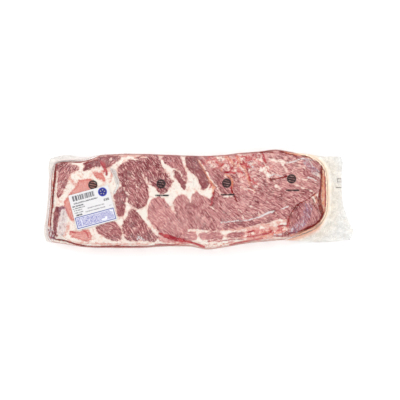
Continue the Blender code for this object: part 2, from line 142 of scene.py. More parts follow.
# ---- the visible meat and fat
# Each muscle: how light it is (0 dark purple, 1 salmon), the direction of its grain in degrees,
# how the grain bends along the rack, how much pale marbling it has, then its outline.
MUSCLES = (
    # far corner at the narrow end
    (0.32, 62, 0, 0.8, -199,48, -187,52, -178,50, -175,47, -170,47, -166,41, -170,38, -176,35, -180,26,
        -182,20, -185,14, -188,7, -191,2, -194,0, -197,5, -198,14, -198,26, -198,38),
    # dark strip along the far edge
    (0.05, 80, 0, 0.1, -160,50, -151,54, -143,55, -137,54, -136,47, -137,43, -142,43, -148,42, -152,40,
        -157,39, -160,40, -158,45),
    (0.22, 35, 0, 0.5, -142,57, -136,59, -123,60, -111,60, -108,57, -113,51, -118,47, -126,42, -132,44,
        -135,51),
    # pale flap beyond the label
    (0.98, -30, 0, 0.2, -147,36, -142,37, -134,35, -131,30, -129,26, -129,23, -135,26, -142,30),
    # partly under the label
    (0.92, 70, 0, 0.2, -185,-13, -185,-4, -182,0, -179,5, -177,8, -173,12, -168,18, -166,24, -159,26,
        -152,28, -148,26, -144,22, -141,14, -161,0, -168,-13, -170,-27, -172,-31, -175,-30, -178,-27,
        -182,-19),
    # strip down the narrow end
    (0.1, 80, 0, 0.1, -194,-11, -186,-11, -185,-13, -190,-16, -192,-24, -193,-30, -195,-37, -196,-45,
        -196,-51, -199,-52, -201.5,-46, -202,-30, -201,-20, -198,-12),
    # along the near edge, from the narrow end
    (0.84, 0, 0, 0.6, -178,-48, -175,-45, -164,-45, -153,-43, -149,-48, -147,-54, -152,-58, -159,-59,
        -166,-55, -173,-53),
    (0.34, -35, 0, 0.3, -142,-41, -136,-37, -127,-33, -117,-32, -112,-35, -108,-40, -106,-48, -106,-55,
        -110,-58, -118,-58, -128,-54, -137,-48),
    (0.24, -55, 0, 0.7, -96,-16, -91,-14, -86,-17, -81,-23, -76,-30, -70,-38, -64,-45, -60,-49, -55,-52,
        -56,-55, -63,-60, -74,-58, -86,-58, -97,-58, -102,-54, -104,-47, -106,-39, -103,-30, -98,-23),
    # between the label and the great dark muscle
    (0.24, -72, 0, 0.3, -117,2, -115,7, -110,14, -106,16, -103,13, -99,7, -100,0, -101,-6, -102,-13,
        -103,-21, -105,-25, -111,-23, -114,-11),
    # the great dark muscle
    (0.19, -55, 0, 0.7, -112,42, -106,48, -98,52, -90,55, -83,59, -75,63, -62,63, -55,57, -51,45, -45,35,
        -41,29, -36,24, -38,19, -42,13, -45,8, -49,6, -54,7, -58,11, -61,16, -66,19, -70,23, -77,30,
        -74,24, -70,16, -69,8, -70,-2, -73,-10, -77,-13, -82,-15, -87,-13, -92,-10, -97,-5, -99,3, -101,8,
        -103,16, -107,20, -110,26, -112,33),
    # along the far edge, past it
    (0.2, -60, 0, 0.0, -35,39, -31,40, -26,34, -22,27, -19,22, -18,16, -20,12, -23,15, -27,21, -32,27,
        -34,33),
    (0.4, -55, 0, 0.3, -51,57, -45,62, -31,63, -26,59, -23,49, -20,42, -17,35, -16,27, -17,20, -20,24,
        -22,31, -26,38, -30,41, -36,42, -42,46, -48,50),
    (0.14, -50, 0, 0.2, -19,55, -14,62, -3,62, 1,55, 8,41, 12,31, 14,24, 12,17, 7,12, 4,13, 2,18, -1,24,
        -4,30, -9,34, -14,38, -17,46),
    # broad muscles on the near side of the middle and at the wide end
    (0.55, -45, 0, 0.5, -66,-2, -61,0, -55,2, -49,0, -45,-5, -40,-12, -36,-18, -30,-23, -26,-24, -27,-28,
        -16,-42, -18,-48, -30,-53, -40,-52, -53,-48, -59,-42, -64,-37, -68,-30, -70,-24, -70,-16, -68,-8),
    (0.46, -27, -0.013, 0.7, -35,-7, -33,-1, -28,4, -22,6, -19,3, -13,-3, -11,-5, -9,1, -8,7, -2,9, 2,5,
        11,1, 16,0, 19,7, 20,16, 15,26, 10,37, 3,49, -1,58, 8,61, 32,62, 57,65, 83,67, 106,70, 127,66,
        141,60.5, 152,58, 160,54.5, 167,49.5, 170.5,43, 170.6,30, 169,20, 167,12, 164.5,8, 160,5, 155,2,
        147,-3, 138,-7, 132,-14, 126,-23, 124,-29, 111,-28, 98,-32, 84,-35, 69,-38, 55,-41, 32,-43.5,
        11,-43.5, -3,-42, -22,-40, -27,-29, -30,-23, -33,-16),
    # purple flap that laps over its end
    (0.32, -65, 0, 0.1, 123,-28, 130,-16, 136,-8, 146,-4, 153,0.5, 159,3.5, 163.5,2, 165.5,-5, 167.2,-12,
        168.6,-19, 168.4,-26, 165,-31, 159,-36, 151,-41, 141,-46, 132,-50, 124,-52, 113,-53, 103,-53,
        101,-51, 113,-46, 120,-41, 124,-35),
    # the row of small ones along the near edge
    (0.66, -20, 0, 0.4, -26,-52, -18,-47, -8,-45, -3,-48, -2,-53, -6,-57, -16,-58, -24,-56),
    (0.55, 0, 0, 0.2, 0,-51, 3,-47, 13,-46, 26,-46, 31,-49, 33,-54, 28,-57, 17,-57, 7,-57, 2,-55),
    (0.4, 0, 0, 0.2, 37,-51, 42,-48, 49,-46, 61,-46, 62,-49, 58,-53, 49,-54, 42,-54),
    (0.8, -20, 0, 1.3, 63,-48, 66,-43, 75,-41, 84,-42, 92,-41, 100,-41, 97,-46, 91,-52, 82,-55, 70,-55,
        64,-53),
    (0.85, -20, 0, 1.2, 102,-46, 108,-42, 118,-41, 122,-44, 118,-49, 106,-51, 99,-50),
    (0.75, -8, 0, 0.4, -56,-55, -48,-51, -38,-54, -28,-57, -18,-58, -14,-62, -26,-62, -40,-61, -52,-59),
)

# Seams and flecks of fat over the muscles. Each line: its width, then its points.
FAT_SEAMS = (
    (2.2, 0,54, 5,46, 9,39, 15,28, 21,20, 24,16, 29,7),
    (1.8, -106,18, -102,12, -95,3),
    (2.4, 34,3, 44,3),
    (3.4, 23,56, 29,57, 34,54, 35,49),
    (2.8, 36,46, 40,43, 42,39),
    (1.8, 45,35, 49,37, 55,40, 64,41),
    (4.2, 55,61, 59,56, 61,51),
    (1.4, 71,55, 76,52, 79,46),
    (6.4, 85,39, 90,41, 93,35, 96,31),
    (1.4, 84,36, 77,31),
    (4.4, 99,54, 106,52, 113,52, 117,50),
    (3.2, 114,49, 117,43, 121,36),
    (2.4, 36,34, 36,29),
    (2.4, 85,56, 86,51),
    (1.8, 40,58, 42,52, 46,50),
    (1.6, 54,56, 58,52),
    (2.6, 57,16, 65,13, 72,12, 76,9),
    (3.8, 105,18, 111,14),
    (1.8, 130,20, 140,15, 151,12, 160,6),
    (2.4, 102,-42, 97,-47, 90,-54),
    (4.8, 158,35, 168,30),
    (3.2, 156,2, 158.6,-2, 158.6,-5),
    (2.2, 154,51, 157,44),
    (1.2, 132,45, 138,46, 144,42, 147,39),
    (1.3, 135,29, 144,26, 152,28, 157,31),
    (1.4, 70,-10, 77,-12, 81,-18, 84,-25),
    (1.2, 54,-16, 59,-20, 61,-28),
    (1.6, 12,-9, 18,-13, 25,-17),
    (2.6, -81,58, -73,58),
    (2.2, -92,55, -85,55),
    (2.4, -197,38, -197,20, -197.5,4),
    (1.6, -108,-39, -105,-45, -103,-53, -102,-56),
    (1.6, -31,40, -25,35, -22,28, -20,25),
    (2.0, -78,33, -72,27, -66,19),
    (1.2, -88,22, -82,12),
    (1.0, -97,38, -92,31, -86,26),
    (1.4, -121,55, -124,48),
)

# Warm peach seams: fat stained by the meat juice
PEACH_SEAMS = (
    (1.4, -2,54, 3,46, 7,39, 13,28, 19,20, 22,15),
    (2.2, 36,33, 42,30, 45,26, 46,20, 45,14),
    (2.0, 64,38, 67,32, 68,26, 71,17, 76,10),
    (2.6, 14,24, 19,17, 19,8),
    (1.6, 26,52, 31,44, 31,38),
    (4.4, 38,58, 44,52, 48,46),
    (3.0, 52,58, 56,50, 53,44),
    (3.2, 60,50, 64,38, 67,30, 70,18),
    (5.0, 171.8,42, 172.4,20, 172.5,0, 172.4,-20),
    (3.6, 170,-28, 160,-38.5, 149,-44, 138,-48, 128,-51),
    (3.0, 128,-54, 140,-54, 150,-52),
    (1.6, 159,4, 161,-1, 161,-6),
    (1.8, 84,-47, 96,-45, 104,-41),
    (2.0, 84,-53, 100,-49, 112,-46),
    (2.2, 118,65, 134,62, 145,60.2, 160,57, 167,53.5, 173,47),
)

# Fat with a pink tinge where lean shows through it
PINK_FAT = (
    (7.0, -207,44, -207,20, -208,-10, -209,-34),
    (3.0, -180,-58, -165,-61, -120,-63, -70,-63),
    (10.0, 54,-51, 80,-49, 104,-47, 118,-47),
    (4.0, 44,-62, 70,-58, 100,-54),
    (5.0, 44,-43, 66,-40, 86,-37),
    (4.0, 84,-38, 104,-34, 122,-31),
    (8.0, 92,-42, 108,-40, 120,-40),
    (3.0, 100,-36, 110,-35),
    (5.0, -196,55, -160,56, -100,60, -40,61),
    (7.0, -160,10, -172,22, -180,30),
    (6.0, -136,33, -128,40, -124,46),
    (4.0, -178,-34, -181,-42, -184,-50),
    (3.4, -124,40, -120,34, -121,26),
)

# Blood in the creases, and the dark gaps between muscles
BLOOD = (
    (3.4, -54,-48, -45,-51, -36,-54, -28,-56),
    (5.6, -46,-51.5, -36,-54.5, -24,-57),
    (3.0, -28,-56, -16,-59, -4,-62.5, 7,-67),
    (2.4, 35,36, 41,36, 49,35),
    (1.6, 41,36, 45,41, 48,45),
    (2.4, 31,45, 35,48.5),
    (1.6, 63,59, 70,53, 75,61),
    (2.2, 57,48, 63,46, 69,43),
    (1.8, 60,53, 63,46, 66,50),
    (2.2, 88,62, 90,55, 92,49),
    (1.6, 71,17, 73,13),
    (2.0, 3,53, 7,47),
    (1.5, 61,52, 65,43, 68,34, 70,24),
    (2.4, 44,16, 45,9),
    # a thin line of blood along the crease at the broad muscle's edge, where SHADES also paints shade
    (1.5, 20,8, 19.8,3, 17.6,-1, 18.4,-5, 16,-9),
    (3.0, 123,-26, 122.5,-32, 121.5,-37),
    (1.6, 121,-37.5, 114,-37, 108,-38.5),
    (3.0, -136,52, -132,44, -128,39, -127,33),
    (1.8, -132,50, -129,44, -131,37),
    (2.0, 75,-44, 68,-46),
    (1.6, 66,-53, 80,-51, 92,-47),
    (1.4, 12,-58.5, 28,-58.5, 44,-56.5, 60,-56),
    (1.8, 14,22, 17,19, 15,15),
    (2.2, 100,-44, 93,-48, 86,-49),
    (1.4, 42,-64, 56,-60.5, 87,-55),
    (1.6, -60,-63, -48,-63, -34,-64),
    (1.6, -160,-43, -154,-47, -152,-53),
    (1.4, -177,-45, -170,-47),
    (2.2, -171,52, -163,52),
    (2.2, 175.0,42, 175.4,28, 175.6,4, 175.3,-18),
)
GAPS = (
    (1.7, 98,27, 99,25, 106,27, 120,30),
    (1.2, 122,-34, 125,-24, 131,-14, 138,-7, 147,-3, 156,4, 161,8),
    (2.0, 170.4,42, 170.2,32, 170,24),
    (3.2, 169.8,24, 169,16, 168.4,11),
    (5.4, 168.2,11, 167,5, 166.6,-1),
    (6.6, 166.8,-2, 167.6,-8, 169.0,-15),
    (4.0, 170.6,-15, 171.2,-23, 168,-31),
    (2.6, 169.6,-16, 170,-24, 166,-31, 160,-36, 150,-40.5, 138,-46, 120,-49),
    (2.8, -199,51, -200,40, -200.6,30, -202,18, -203,4, -204,-12),
    (1.8, -204,-12, -205.5,-24, -206,-40),
    (1.4, -206,26, -207.5,0, -209.5,-20, -210,-36),
    (1.8, -211,-42, -207,-45, -209,-51, -203,-54, -200,-50),
    (1.6, -206,-42, -203,-48, -206,-56),
    (1.6, -158,50, -148,53, -138,55),
    (1.5, 45,12, 47.5,5, 52,-5),
    (1.8, 85,64.5, 93,65.5, 102,65),
    (1.8, 112,66, 125,62.5, 135,60),
    (1.8, 143,60.6, 150,60, 158,58),
    (2.0, 164,53, 170,48, 171.4,41),
    (1.6, 155,-7, 159,-10.5, 163,-15),
    (1.2, 156,0, 158,-4, 157.5,-7),
    (2.0, -199,52.5, -185,53.2, -165,53.2, -150,56),
    (2.0, -204,-51, -199,-55.5, -189,-57.5, -179,-60.3, -169,-63.2, -158,-65.2),
    (1.6, -160,-65, -143,-66.4, -128,-66, -110,-65.6, -98,-66.4, -78,-66.4),
)

# Where lean and fat are torn together
TORN = (
    (26, 22,54, 46,52, 66,48),
    (18, 56,42, 68,24, 74,16),
    (12, 78,56, 96,40),
    (10, 62,-50, 92,-46, 118,-43),
    (7, -50,-62, -10,-63),
    (8, 4,-64, 44,-62),
    (7, -24,63, 10,64, 60,67),
)

# Patches of lean that are darker or lighter: the change, the width, then the points
SHADES = (
    (-0.25, 9, 27,34, 26,20, 34,14),
    (-0.25, 9, 47,29, 53,27),
    (-0.2, 8, 68,52, 71,44),
    (-0.15, 7, 43,-37, 78,-34, 107,-28, 122,-24),
    (-0.12, 12, 92,25, 110,31),
    (-0.15, 12, 125,-2, 128,-12),
    (0.2, 10, 60,30, 63,20),
    (0.15, 14, 100,44, 108,38),
    (-0.12, 14, 140,10, 160,22, 150,40),
    (-0.15, 12, -35,-50, -24,-55),
    (0.1, 30, 38,50, 66,40),
    (-0.12, 14, 92,12, 112,4),
    (0.1, 12, 30,-8, 60,-6),
    (-0.1, 10, 36,-24, 76,-18),
    (-0.25, 6, -196,47, -188,48, -178,46),
    (0.15, 18, 150,-10, 158,-26, 140,-40),
    (0.06, 20, -186,42, -188,18),
    (0.06, 30, 60,-8, 110,10, 150,30),
    (-0.06, 30, 40,-5, 80,5),
    # painted shade along the crease at the broad muscle's edge
    (-0.2, 6, 20,8, 18.5,-2, 16,-10),
    (0.13, 20, -84,8, -80,-2),
)

# Painted highlights along pressed folds of the film, where they catch the light
FOLD_GLINTS = (
    (1.5, 30,-33, 49,-31, 70,-29, 84,-25),
    (2.6, 84,-25, 90,-22, 96,-19, 102,-18),
    (1.8, 112,-15, 117,-13, 122,-11),
    (1.9, 121,49, 130,51, 138,54, 146,55, 160,54),
    (1.4, 156,43, 161,41, 166,37),
    (1.4, 149,29, 156,27, 163,23),
    (1.3, 66,50, 72,45, 77,40),
    (1.2, 96,30, 104,33, 114,30),
    (1.0, 146,-7, 151,-26),
    (1.2, 143,-16, 146,-22),
    (1.4, 128,-42, 132,-42),
    (1.8, 142,-38, 145,-34),
)
# Outline of a fold of film pressed against the meat; it is painted with streaks of light and shade
PRESSED_FOLD = (-122,42, -115,39, -112,31, -109,24, -110,17, -113,11, -116,6, -118,8, -114,16, -116,25,
                -119,33, -122,39)
# Where the film is finely puckered over the meat, painted with a lilac sheen and with shade and
# highlights
PUCKERS = (
    (16, -187,-16, -187,-30, -190,-46),
    (16, 150,-12, 145,-28, 130,-44),
    (14, 148,50, 160,36),
    (12, -206,-42, -203,-54),
)
# Middles of the printed badges, and boxes of bubbles: (least x, greatest x, least y, greatest y)
BADGES = ((-146, 19), (-52, 20), (38, 21), (127, 27))
BUBBLES = ((102, 123, -51, -46), (-86, -70, -58, -50))

SPANS = 10                     # steps of a smooth curve from one given point to the next
MUSCLE_SPANS = 4               # the same for a muscle's outline
LINE_SPANS = 5                 # and for a thick line
SIDE_POINTS = 400              # points along a stretch of a long side
LOOP_STRIDE = 4                # of which the meat's outline takes every fourth
FAR_AWAY = -50.0               # stands for a place that is nowhere near a line or muscle


def pairs(numbers):
    """A row of x,y pairs as an array with a row for each point."""
    return np.reshape(np.array(numbers, float), (-1, 2))


def smooth_line(points, spans=SPANS, closed=False):
    """Points along a smooth curve that passes through the given ones, as an array of rows."""
    given = pairs(points)
    if closed:
        given = np.vstack([given, given[:1]])
        before, after = given[-2], given[1]
    else:
        before, after = 2 * given[0] - given[1], 2 * given[-1] - given[-2]
    around = np.vstack([before, given, after])
    slopes = ((around[2:] - around[:-2]) / 2)[:, None]
    spots = given[:, None]
    t = np.arange(spans)[:, None] / spans
    curve = ((2 * t**3 - 3 * t**2 + 1) * spots[:-1] + (t**3 - 2 * t**2 + t) * slopes[:-1]
             + (3 * t**2 - 2 * t**3) * spots[1:] + (t**3 - t**2) * slopes[1:]).reshape(-1, 2)
    return curve if closed else np.vstack([curve, given[-1:]])


def travelled(line):
    """The share of a line's length that lies before each of its points."""
    steps = np.hypot(*np.diff(line, axis=0).T)
    return np.concatenate([[0.0], np.cumsum(steps)]) / steps.sum()


def along(line, shares):
    """The points of a line at these shares of its length."""
    return np.column_stack([np.interp(shares, travelled(line), line[:, k]) for k in (0, 1)])


def share_at(line, x):
    return np.interp(x, line[:, 0], travelled(line))


def distance_to(line, x, y):
    """Distance to the nearest point of an open line."""
    nearest = np.full(x.shape, np.inf)
    for (ax, ay), (bx, by) in zip(line[:-1], line[1:]):
        ex, ey = bx - ax, by - ay
        share = np.clip(((x - ax) * ex + (y - ay) * ey) / (ex * ex + ey * ey), 0, 1)
        nearest = np.minimum(nearest, np.hypot(x - ax - share * ex, y - ay - share * ey))
    return nearest


def distance_inside(loop, x, y):
    """How far each point lies inside a closed outline. It is negative outside."""
    closed = np.vstack([loop, loop[:1]])
    inside = np.zeros(x.shape, bool)
    for (ax, ay), (bx, by) in zip(closed[:-1], closed[1:]):
        if ay != by:
            crosses = (ay > y) != (by > y)
            inside ^= crosses & (x - ax < (bx - ax) * (y - ay) / (by - ay))
    nearest = distance_to(closed, x, y)
    return np.where(inside, nearest, -nearest)


def ramp(value, low, high):
    """0 up to low, 1 from high on, and a smooth S between them."""
    t = np.clip((value - low) / (high - low), 0, 1)
    return t * t * (3 - 2 * t)


def rounded(share):
    """The profile of a rounded edge: 0 at its foot, rising steeply, then level at 1."""
    foot = 1 - np.clip(share, 0, 1)
    return (1 - foot**SHOULDER_POWER) ** (1 / SHOULDER_POWER)


# ---- heights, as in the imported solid
def muscle_relief(x, y):
    relief = np.zeros_like(x)
    for cx, cy, half_length, half_width, turn, rise in PADS:
        cos, sin = math.cos(math.radians(turn)), math.sin(math.radians(turn))
        u = ((x - cx) * cos + (y - cy) * sin) / half_length
        v = ((y - cy) * cos - (x - cx) * sin) / half_width
        relief = np.maximum(relief, rise * ramp(PAD_REACH - np.hypot(u, v), 0, PAD_SLOPE))
    for start, end, half_width, depth in FOLDS:
        relief -= depth * ramp(1 - distance_to((start, end), x, y) / half_width, 0, 1)
    return relief


def label_plane(x, y):
    return (LABEL_HEIGHT + LABEL_SLOPE[0] * (x - LABEL_CENTRE[0])
            + LABEL_SLOPE[1] * (y - LABEL_CENTRE[1]))


def under_label(x, y):
    cos, sin = math.cos(LABEL_TURN), math.sin(LABEL_TURN)
    dx, dy = x - LABEL_CENTRE[0], y - LABEL_CENTRE[1]
    past = np.maximum(np.abs(dx * cos + dy * sin) - LABEL_WIDTH / 2,
                      np.abs(dy * cos - dx * sin) - LABEL_LENGTH / 2)
    return 1 - ramp(past, LABEL_MARGIN, LABEL_MARGIN + LABEL_BLEND)


def slab_height(x, y):
    thickness = END_THICKNESS + (MIDDLE_THICKNESS - END_THICKNESS) * ramp(x, *THICKENS)
    thickness += CROWN * np.cos(np.clip(y / HALF_WIDTH, -1, 1) * math.pi / 2)
    height = thickness + muscle_relief(x, y)
    flat = under_label(x, y)
    return height * (1 - flat) + label_plane(x, y) * flat


def across_ribs(x, y):
    return (x + y * math.tan(RIB_SLANT)) / RIB_PITCH


def seam_height(x):
    long_sway, short_sway = (np.sin(x / length) for length in SEAM_SWAY_LENGTHS)
    return SEAM_HEIGHT + SEAM_SWAY * (long_sway + short_sway / 2)


def film_wrinkles(x, y):
    fan = y + WRINKLE_FAN * x + WRINKLE_BEND[0] * np.sin(x / WRINKLE_BEND[1])
    cross = x + CROSS_SLANT * y
    return (np.sin(2 * math.pi * fan / WRINKLE_PITCH)
            + CROSS_SHARE * np.sin(2 * math.pi * cross / CROSS_PITCH))


def film_height(x, y, outside):
    rise = (seam_height(x) - FILM_REST_HEIGHT) * np.exp(-outside / FILM_DROOP)
    folds = WRINKLE_HEIGHT * ramp(outside, *WRINKLE_START) * film_wrinkles(x, y)
    return np.maximum(FILM_REST_HEIGHT + rise + folds, SHELF_GAP + SOLID_FILM / 2)


def at_ends(x):
    """1 at the two short ends, where the lower layer stands out past the top muscle."""
    return (1 - ramp(x, LIP_LEFT_X, LIP_LEFT_X + LIP_LEFT_FADE)
            + ramp(x, LIP_RIGHT_X - LIP_RIGHT_FADE, LIP_RIGHT_X))


def top_of_meat(x, y, depth):
    """Height of the film over the meat, this far inside the meat's outline."""
    seam = seam_height(x)
    shoulder = SHOULDER * (1 + SHOULDER_FLUTES * np.cos(2 * math.pi * across_ribs(x, y)))
    muscle = (slab_height(x, y) - seam) * rounded((depth - LIP_WIDTH * at_ends(x)) / shoulder)
    lip_height = np.where(x < 0, LIP_HEIGHT_LEFT, LIP_HEIGHT_RIGHT) - seam
    return seam + np.maximum(muscle, lip_height * rounded(depth / LIP_EDGE) * at_ends(x))


def rib_valleys(x, y, depth):
    across = across_ribs(x, y)
    valley = ramp(np.abs(across - np.round(across)), RIB_FLAT_SHARE / 2, 0.5)
    return RIB_VALLEY * valley * ramp(depth, *RIB_MARGIN)


def bottom_of_meat(x, y, depth):
    return seam_height(x) * (1 - rounded(depth / HEEL)) + rib_valleys(x, y, depth)


# ---- outlines seen from above
def patch(near, far, left, right, u, v):
    """Blends four edge lines over the grid of shares u along the pack and v across it."""
    near, far = along(near, u), along(far, u)
    left, right = along(left, v), along(right, v)
    u, v = u[:, None, None], v[None, :, None]
    corners = ((1 - u) * (1 - v) * near[0] + u * (1 - v) * near[-1]
               + (1 - u) * v * far[0] + u * v * far[-1])
    return ((1 - v) * near[:, None] + v * far[:, None]
            + (1 - u) * left[None, :] + u * right[None, :] - corners)


def part_of(side, start, end):
    """The stretch of a long side between two values of X."""
    shares = np.linspace(share_at(side, start), share_at(side, end), SIDE_POINTS)
    return along(side, shares)


NEAR, FAR = smooth_line(BAG_NEAR), smooth_line(BAG_FAR)


def on_side(side, x):
    return along(side, [share_at(side, x)])[0]


CORNER_NEAR, CORNER_FAR = 2, 7     # the places in MEAT_RIGHT's curve where the wide end turns
RIGHT_CURVE = smooth_line((*on_side(NEAR, MEAT_RIGHT_SIDES[0]), *MEAT_RIGHT,
                           *on_side(FAR, MEAT_RIGHT_SIDES[1])))
LEFT_CURVE = smooth_line((*on_side(NEAR, MEAT_LEFT_SIDES[0]), *MEAT_LEFT, *FAR_STRIP,
                          *on_side(FAR, FAR_STRIP_END)))
NEAR_CURVE = part_of(NEAR, MEAT_LEFT_SIDES[0], MEAT_RIGHT_SIDES[0])
FAR_CURVE = part_of(FAR, FAR_STRIP_END, MEAT_RIGHT_SIDES[1])
MEAT_LOOP = np.vstack([NEAR_CURVE[:-1:LOOP_STRIDE], RIGHT_CURVE[:-1], FAR_CURVE[:0:-LOOP_STRIDE],
                       LEFT_CURVE[:0:-1]])

# The same outline as the four edges of the rack's own grid
FAR_LEFT = len(MEAT_LEFT) // 2 * SPANS
RACK_LEFT = LEFT_CURVE[:FAR_LEFT + 1]
RACK_NEAR = np.vstack([NEAR_CURVE[:-1], RIGHT_CURVE[:CORNER_NEAR * SPANS + 1]])
RACK_RIGHT = RIGHT_CURVE[CORNER_NEAR * SPANS:CORNER_FAR * SPANS + 1]
RACK_FAR = np.vstack([LEFT_CURVE[FAR_LEFT:-1], FAR_CURVE[:-1],
                      RIGHT_CURVE[:CORNER_FAR * SPANS - 1:-1]])


def profile(width, steps):
    """Distances from the rim at which a rounded edge of this width gets its grid lines."""
    angles = np.arange(steps + 1) / steps * math.pi / 2
    return width * (1 - np.cos(angles) ** (2 / SHOULDER_POWER))


def crowded(size, edge_lines, pitch):
    """Shares of a size with a grid line each: the given ones near both ends, then evenly."""
    edge = np.array(edge_lines) / size
    count = round((1 - 2 * edge[-1]) * size / pitch)
    middle = np.linspace(edge[-1], 1 - edge[-1], count + 1)
    return np.concatenate([edge[:-1], middle, 1 - edge[-2::-1]])


def flat_shell(name, columns, rows):
    """A closed flat box of two grids, and for each vertex its column, its row and its side."""
    mesh = bmesh.new()
    bmesh.ops.create_grid(mesh, x_segments=columns, y_segments=rows, size=1)
    raised = bmesh.ops.extrude_face_region(mesh, geom=mesh.faces[:])["geom"]
    bmesh.ops.translate(mesh, verts=[g for g in raised if isinstance(g, bmesh.types.BMVert)],
                        vec=(0, 0, 1))
    bmesh.ops.recalc_face_normals(mesh, faces=mesh.faces)
    data = bpy.data.meshes.new(name)
    mesh.to_mesh(data)
    mesh.free()
    spots = np.empty(len(data.vertices) * 3)
    data.vertices.foreach_get("co", spots)
    spots = spots.reshape(-1, 3)
    column = np.rint((spots[:, 0] + 1) / 2 * columns).astype(int)
    row = np.rint((spots[:, 1] + 1) / 2 * rows).astype(int)
    return data, column, row, spots[:, 2] > 0.5


def add_values(data, values):
    """Attributes of the vertices, from a dictionary of their names and values."""
    for name, found in values.items():
        made = data.attributes.new(name, "FLOAT", "POINT")
        made.data.foreach_set("value", np.asarray(found, np.float32))


def add_vectors(data, name, values):
    made = data.attributes.new(name, "FLOAT_VECTOR", "POINT")
    made.data.foreach_set("vector", np.asarray(values, np.float32).ravel())


def lines_within(lines, x, y):
    """Distance inside the nearest of these thick lines, in millimetres. Negative outside them."""
    found = np.full(x.shape, FAR_AWAY)
    for width, *points in lines:
        line = pairs(points)
        if len(line) > 2:
            line = smooth_line(line, LINE_SPANS)
        found = np.maximum(found, width / 2 - distance_to(line, x, y))
    return found


def deform(data, column, row, upper, plan, heights, inset=0.0):
    """Moves the flat shell's vertices onto the plan at these heights, then in by the inset."""
    spots = np.empty((len(column), 3))
    spots[:, :2] = plan[column, row] + PLAN_SHIFT
    spots[:, 2] = np.where(upper, heights[0][column, row], heights[1][column, row])
    data.vertices.foreach_set("co", (spots * MM).ravel())
    data.update()
    if np.any(inset):
        normals = np.empty(len(column) * 3, np.float32)
        data.vertex_normals.foreach_get("vector", normals)
        spots -= normals.reshape(-1, 3) * np.reshape(inset, (-1, 1))
        data.vertices.foreach_set("co", (spots * MM).ravel())
    data.shade_smooth()
    data.update()


def add_piece(data, finish, replaced):
    data.materials.append(finish)
    piece = bpy.data.objects.new(data.name, data)
    bpy.context.scene.collection.objects.link(piece)
    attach(piece, "root")
    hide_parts(replaced)


# ---- the rack of ribs
MEAT_LENGTH = 384.0
MEAT_WIDTH = 126.0
RACK_PITCH = 1.2               # of the grid lines over the broad middle
SIDE_STEPS = 14                # grid lines on the rounded edges of the long sides and ends
END_STEPS = 12
LIP_STEPS = 6
RACK_SIDE_LINES = profile(SHOULDER, SIDE_STEPS)
RACK_END_LINES = np.concatenate([profile(LIP_EDGE, LIP_STEPS),
                                 np.linspace(LIP_EDGE, LIP_WIDTH, LIP_STEPS)[1:],
                                 LIP_WIDTH + profile(SHOULDER, END_STEPS)[1:]])
MEAT_UNDER_FILM = 0.35
SPAN_CLEARANCE = 0.9
SPAN_FROM_SIDES = 2.0          # it is full where the rim is this much nearer than a long side
SPAN_FADE = (2.0, 6.0)         # distances from the rim over which it ends
FAT_SINKS = 0.25               # seams of fat lie lower than the lean, and gaps lower still
GAP_SINKS = 0.8
FAT_EDGE = (-1.0, 1.0)
GAP_EDGE = (-1.5, 0.5)
SINK_START = (1.0, 6.0)        # distances from the rim over which they sink
WISPS = (88, 44, 72, 30)       # where fat runs through the lean: middle and half sizes
WISP_MARBLING = 0.6
OUTLINE_REACH = (12, 20)       # how far round a muscle its outline is looked at
BEND_ENDS = 60.0               # the grain of the broad muscle fans out to the left of this x
GRAIN_SHIFT = 7.0              # from one muscle's fibres to the next one's
BONE_END = (6.0, 3.4, 7.0)     # half width and half height of a cut rib, and its height
BONE_VARIES = (0.25, 1.2)      # share of the half width, and millimetres of height
BONE_DRAWS = 64
BONE_SEED = 8
BONE_SIDE = 8.0                # ribs are cut this near the long sides
WALL_WIDTH = 2.0
RIM_FAR = ((-206, -192, -140, 60, 75, 105, 115, 170), (0.1, 0.8, 0.7, 0.6, 1.0, 1.0, 0.7, 0.0))
RIM_NEAR = ((-210, -165, -150, -60, -40, 0, 60, 120, 150, 165),
            (0.0, 0.1, 0.7, 0.9, 0.8, 0.35, 0.5, 0.4, 0.2, 0.0))


def muscle_values(x, y):
    """For points on the top: distance inside the lean, its lightness, marbling and grain."""
    lean = np.full(x.shape, FAR_AWAY)
    tone, marbling = np.zeros(x.shape), np.zeros(x.shape)
    grain = np.zeros(x.shape + (3,))
    for k, (light, turn, bend, pale, *outline) in enumerate(MUSCLES):
        loop = smooth_line(outline, MUSCLE_SPANS, closed=True)
        cx, cy = loop.mean(0)
        reach_x, reach_y = np.ptp(loop, 0) / 2 + OUTLINE_REACH
        near = (np.abs(x - cx) < reach_x) & (np.abs(y - cy) < reach_y)
        inside = np.full(x.shape, FAR_AWAY)
        inside[near] = distance_inside(loop, x[near], y[near])
        ahead = inside > lean
        lean[ahead] = inside[ahead]
        tone[ahead], marbling[ahead] = light, pale
        cos, sin = math.cos(math.radians(turn)), math.sin(math.radians(turn))
        along_grain = (x - cx) * cos + (y - cy) * sin
        across_grain = ((y - cy) * cos - (x - cx) * sin
                        + bend / 2 * np.minimum(x - BEND_ENDS, 0) ** 2)
        layer = np.full(x.shape, GRAIN_SHIFT * k)
        grain[ahead] = np.stack([along_grain, across_grain, layer], -1)[ahead]
    lean = np.minimum(lean, -lines_within(FAT_SEAMS, x, y))
    wisps = 1 - np.hypot((x - WISPS[0]) / WISPS[2], (y - WISPS[1]) / WISPS[3])
    marbling = marbling + WISP_MARBLING * ramp(wisps, 0, 0.5)
    for change, width, *points in SHADES:
        away = distance_to(pairs(points), x, y)
        tone = tone + change * ramp(width / 2 - away, -width / 2, width / 4)
    return lean, tone, marbling, grain


def bone_ends(across, from_crest, height):
    """How far each vertex is inside the cut end of a rib. The ribs' ends vary a little."""
    draws = np.random.default_rng(BONE_SEED).uniform(-1, 1, (2, BONE_DRAWS))
    rib = np.round(across).astype(int) + BONE_DRAWS // 2
    bone_u = from_crest / (BONE_END[0] * (1 + BONE_VARIES[0] * draws[0, rib]))
    bone_v = (height - BONE_END[2] - BONE_VARIES[1] * draws[1, rib]) / BONE_END[1]
    return (1 - np.hypot(bone_u, bone_v)) * BONE_END[1]


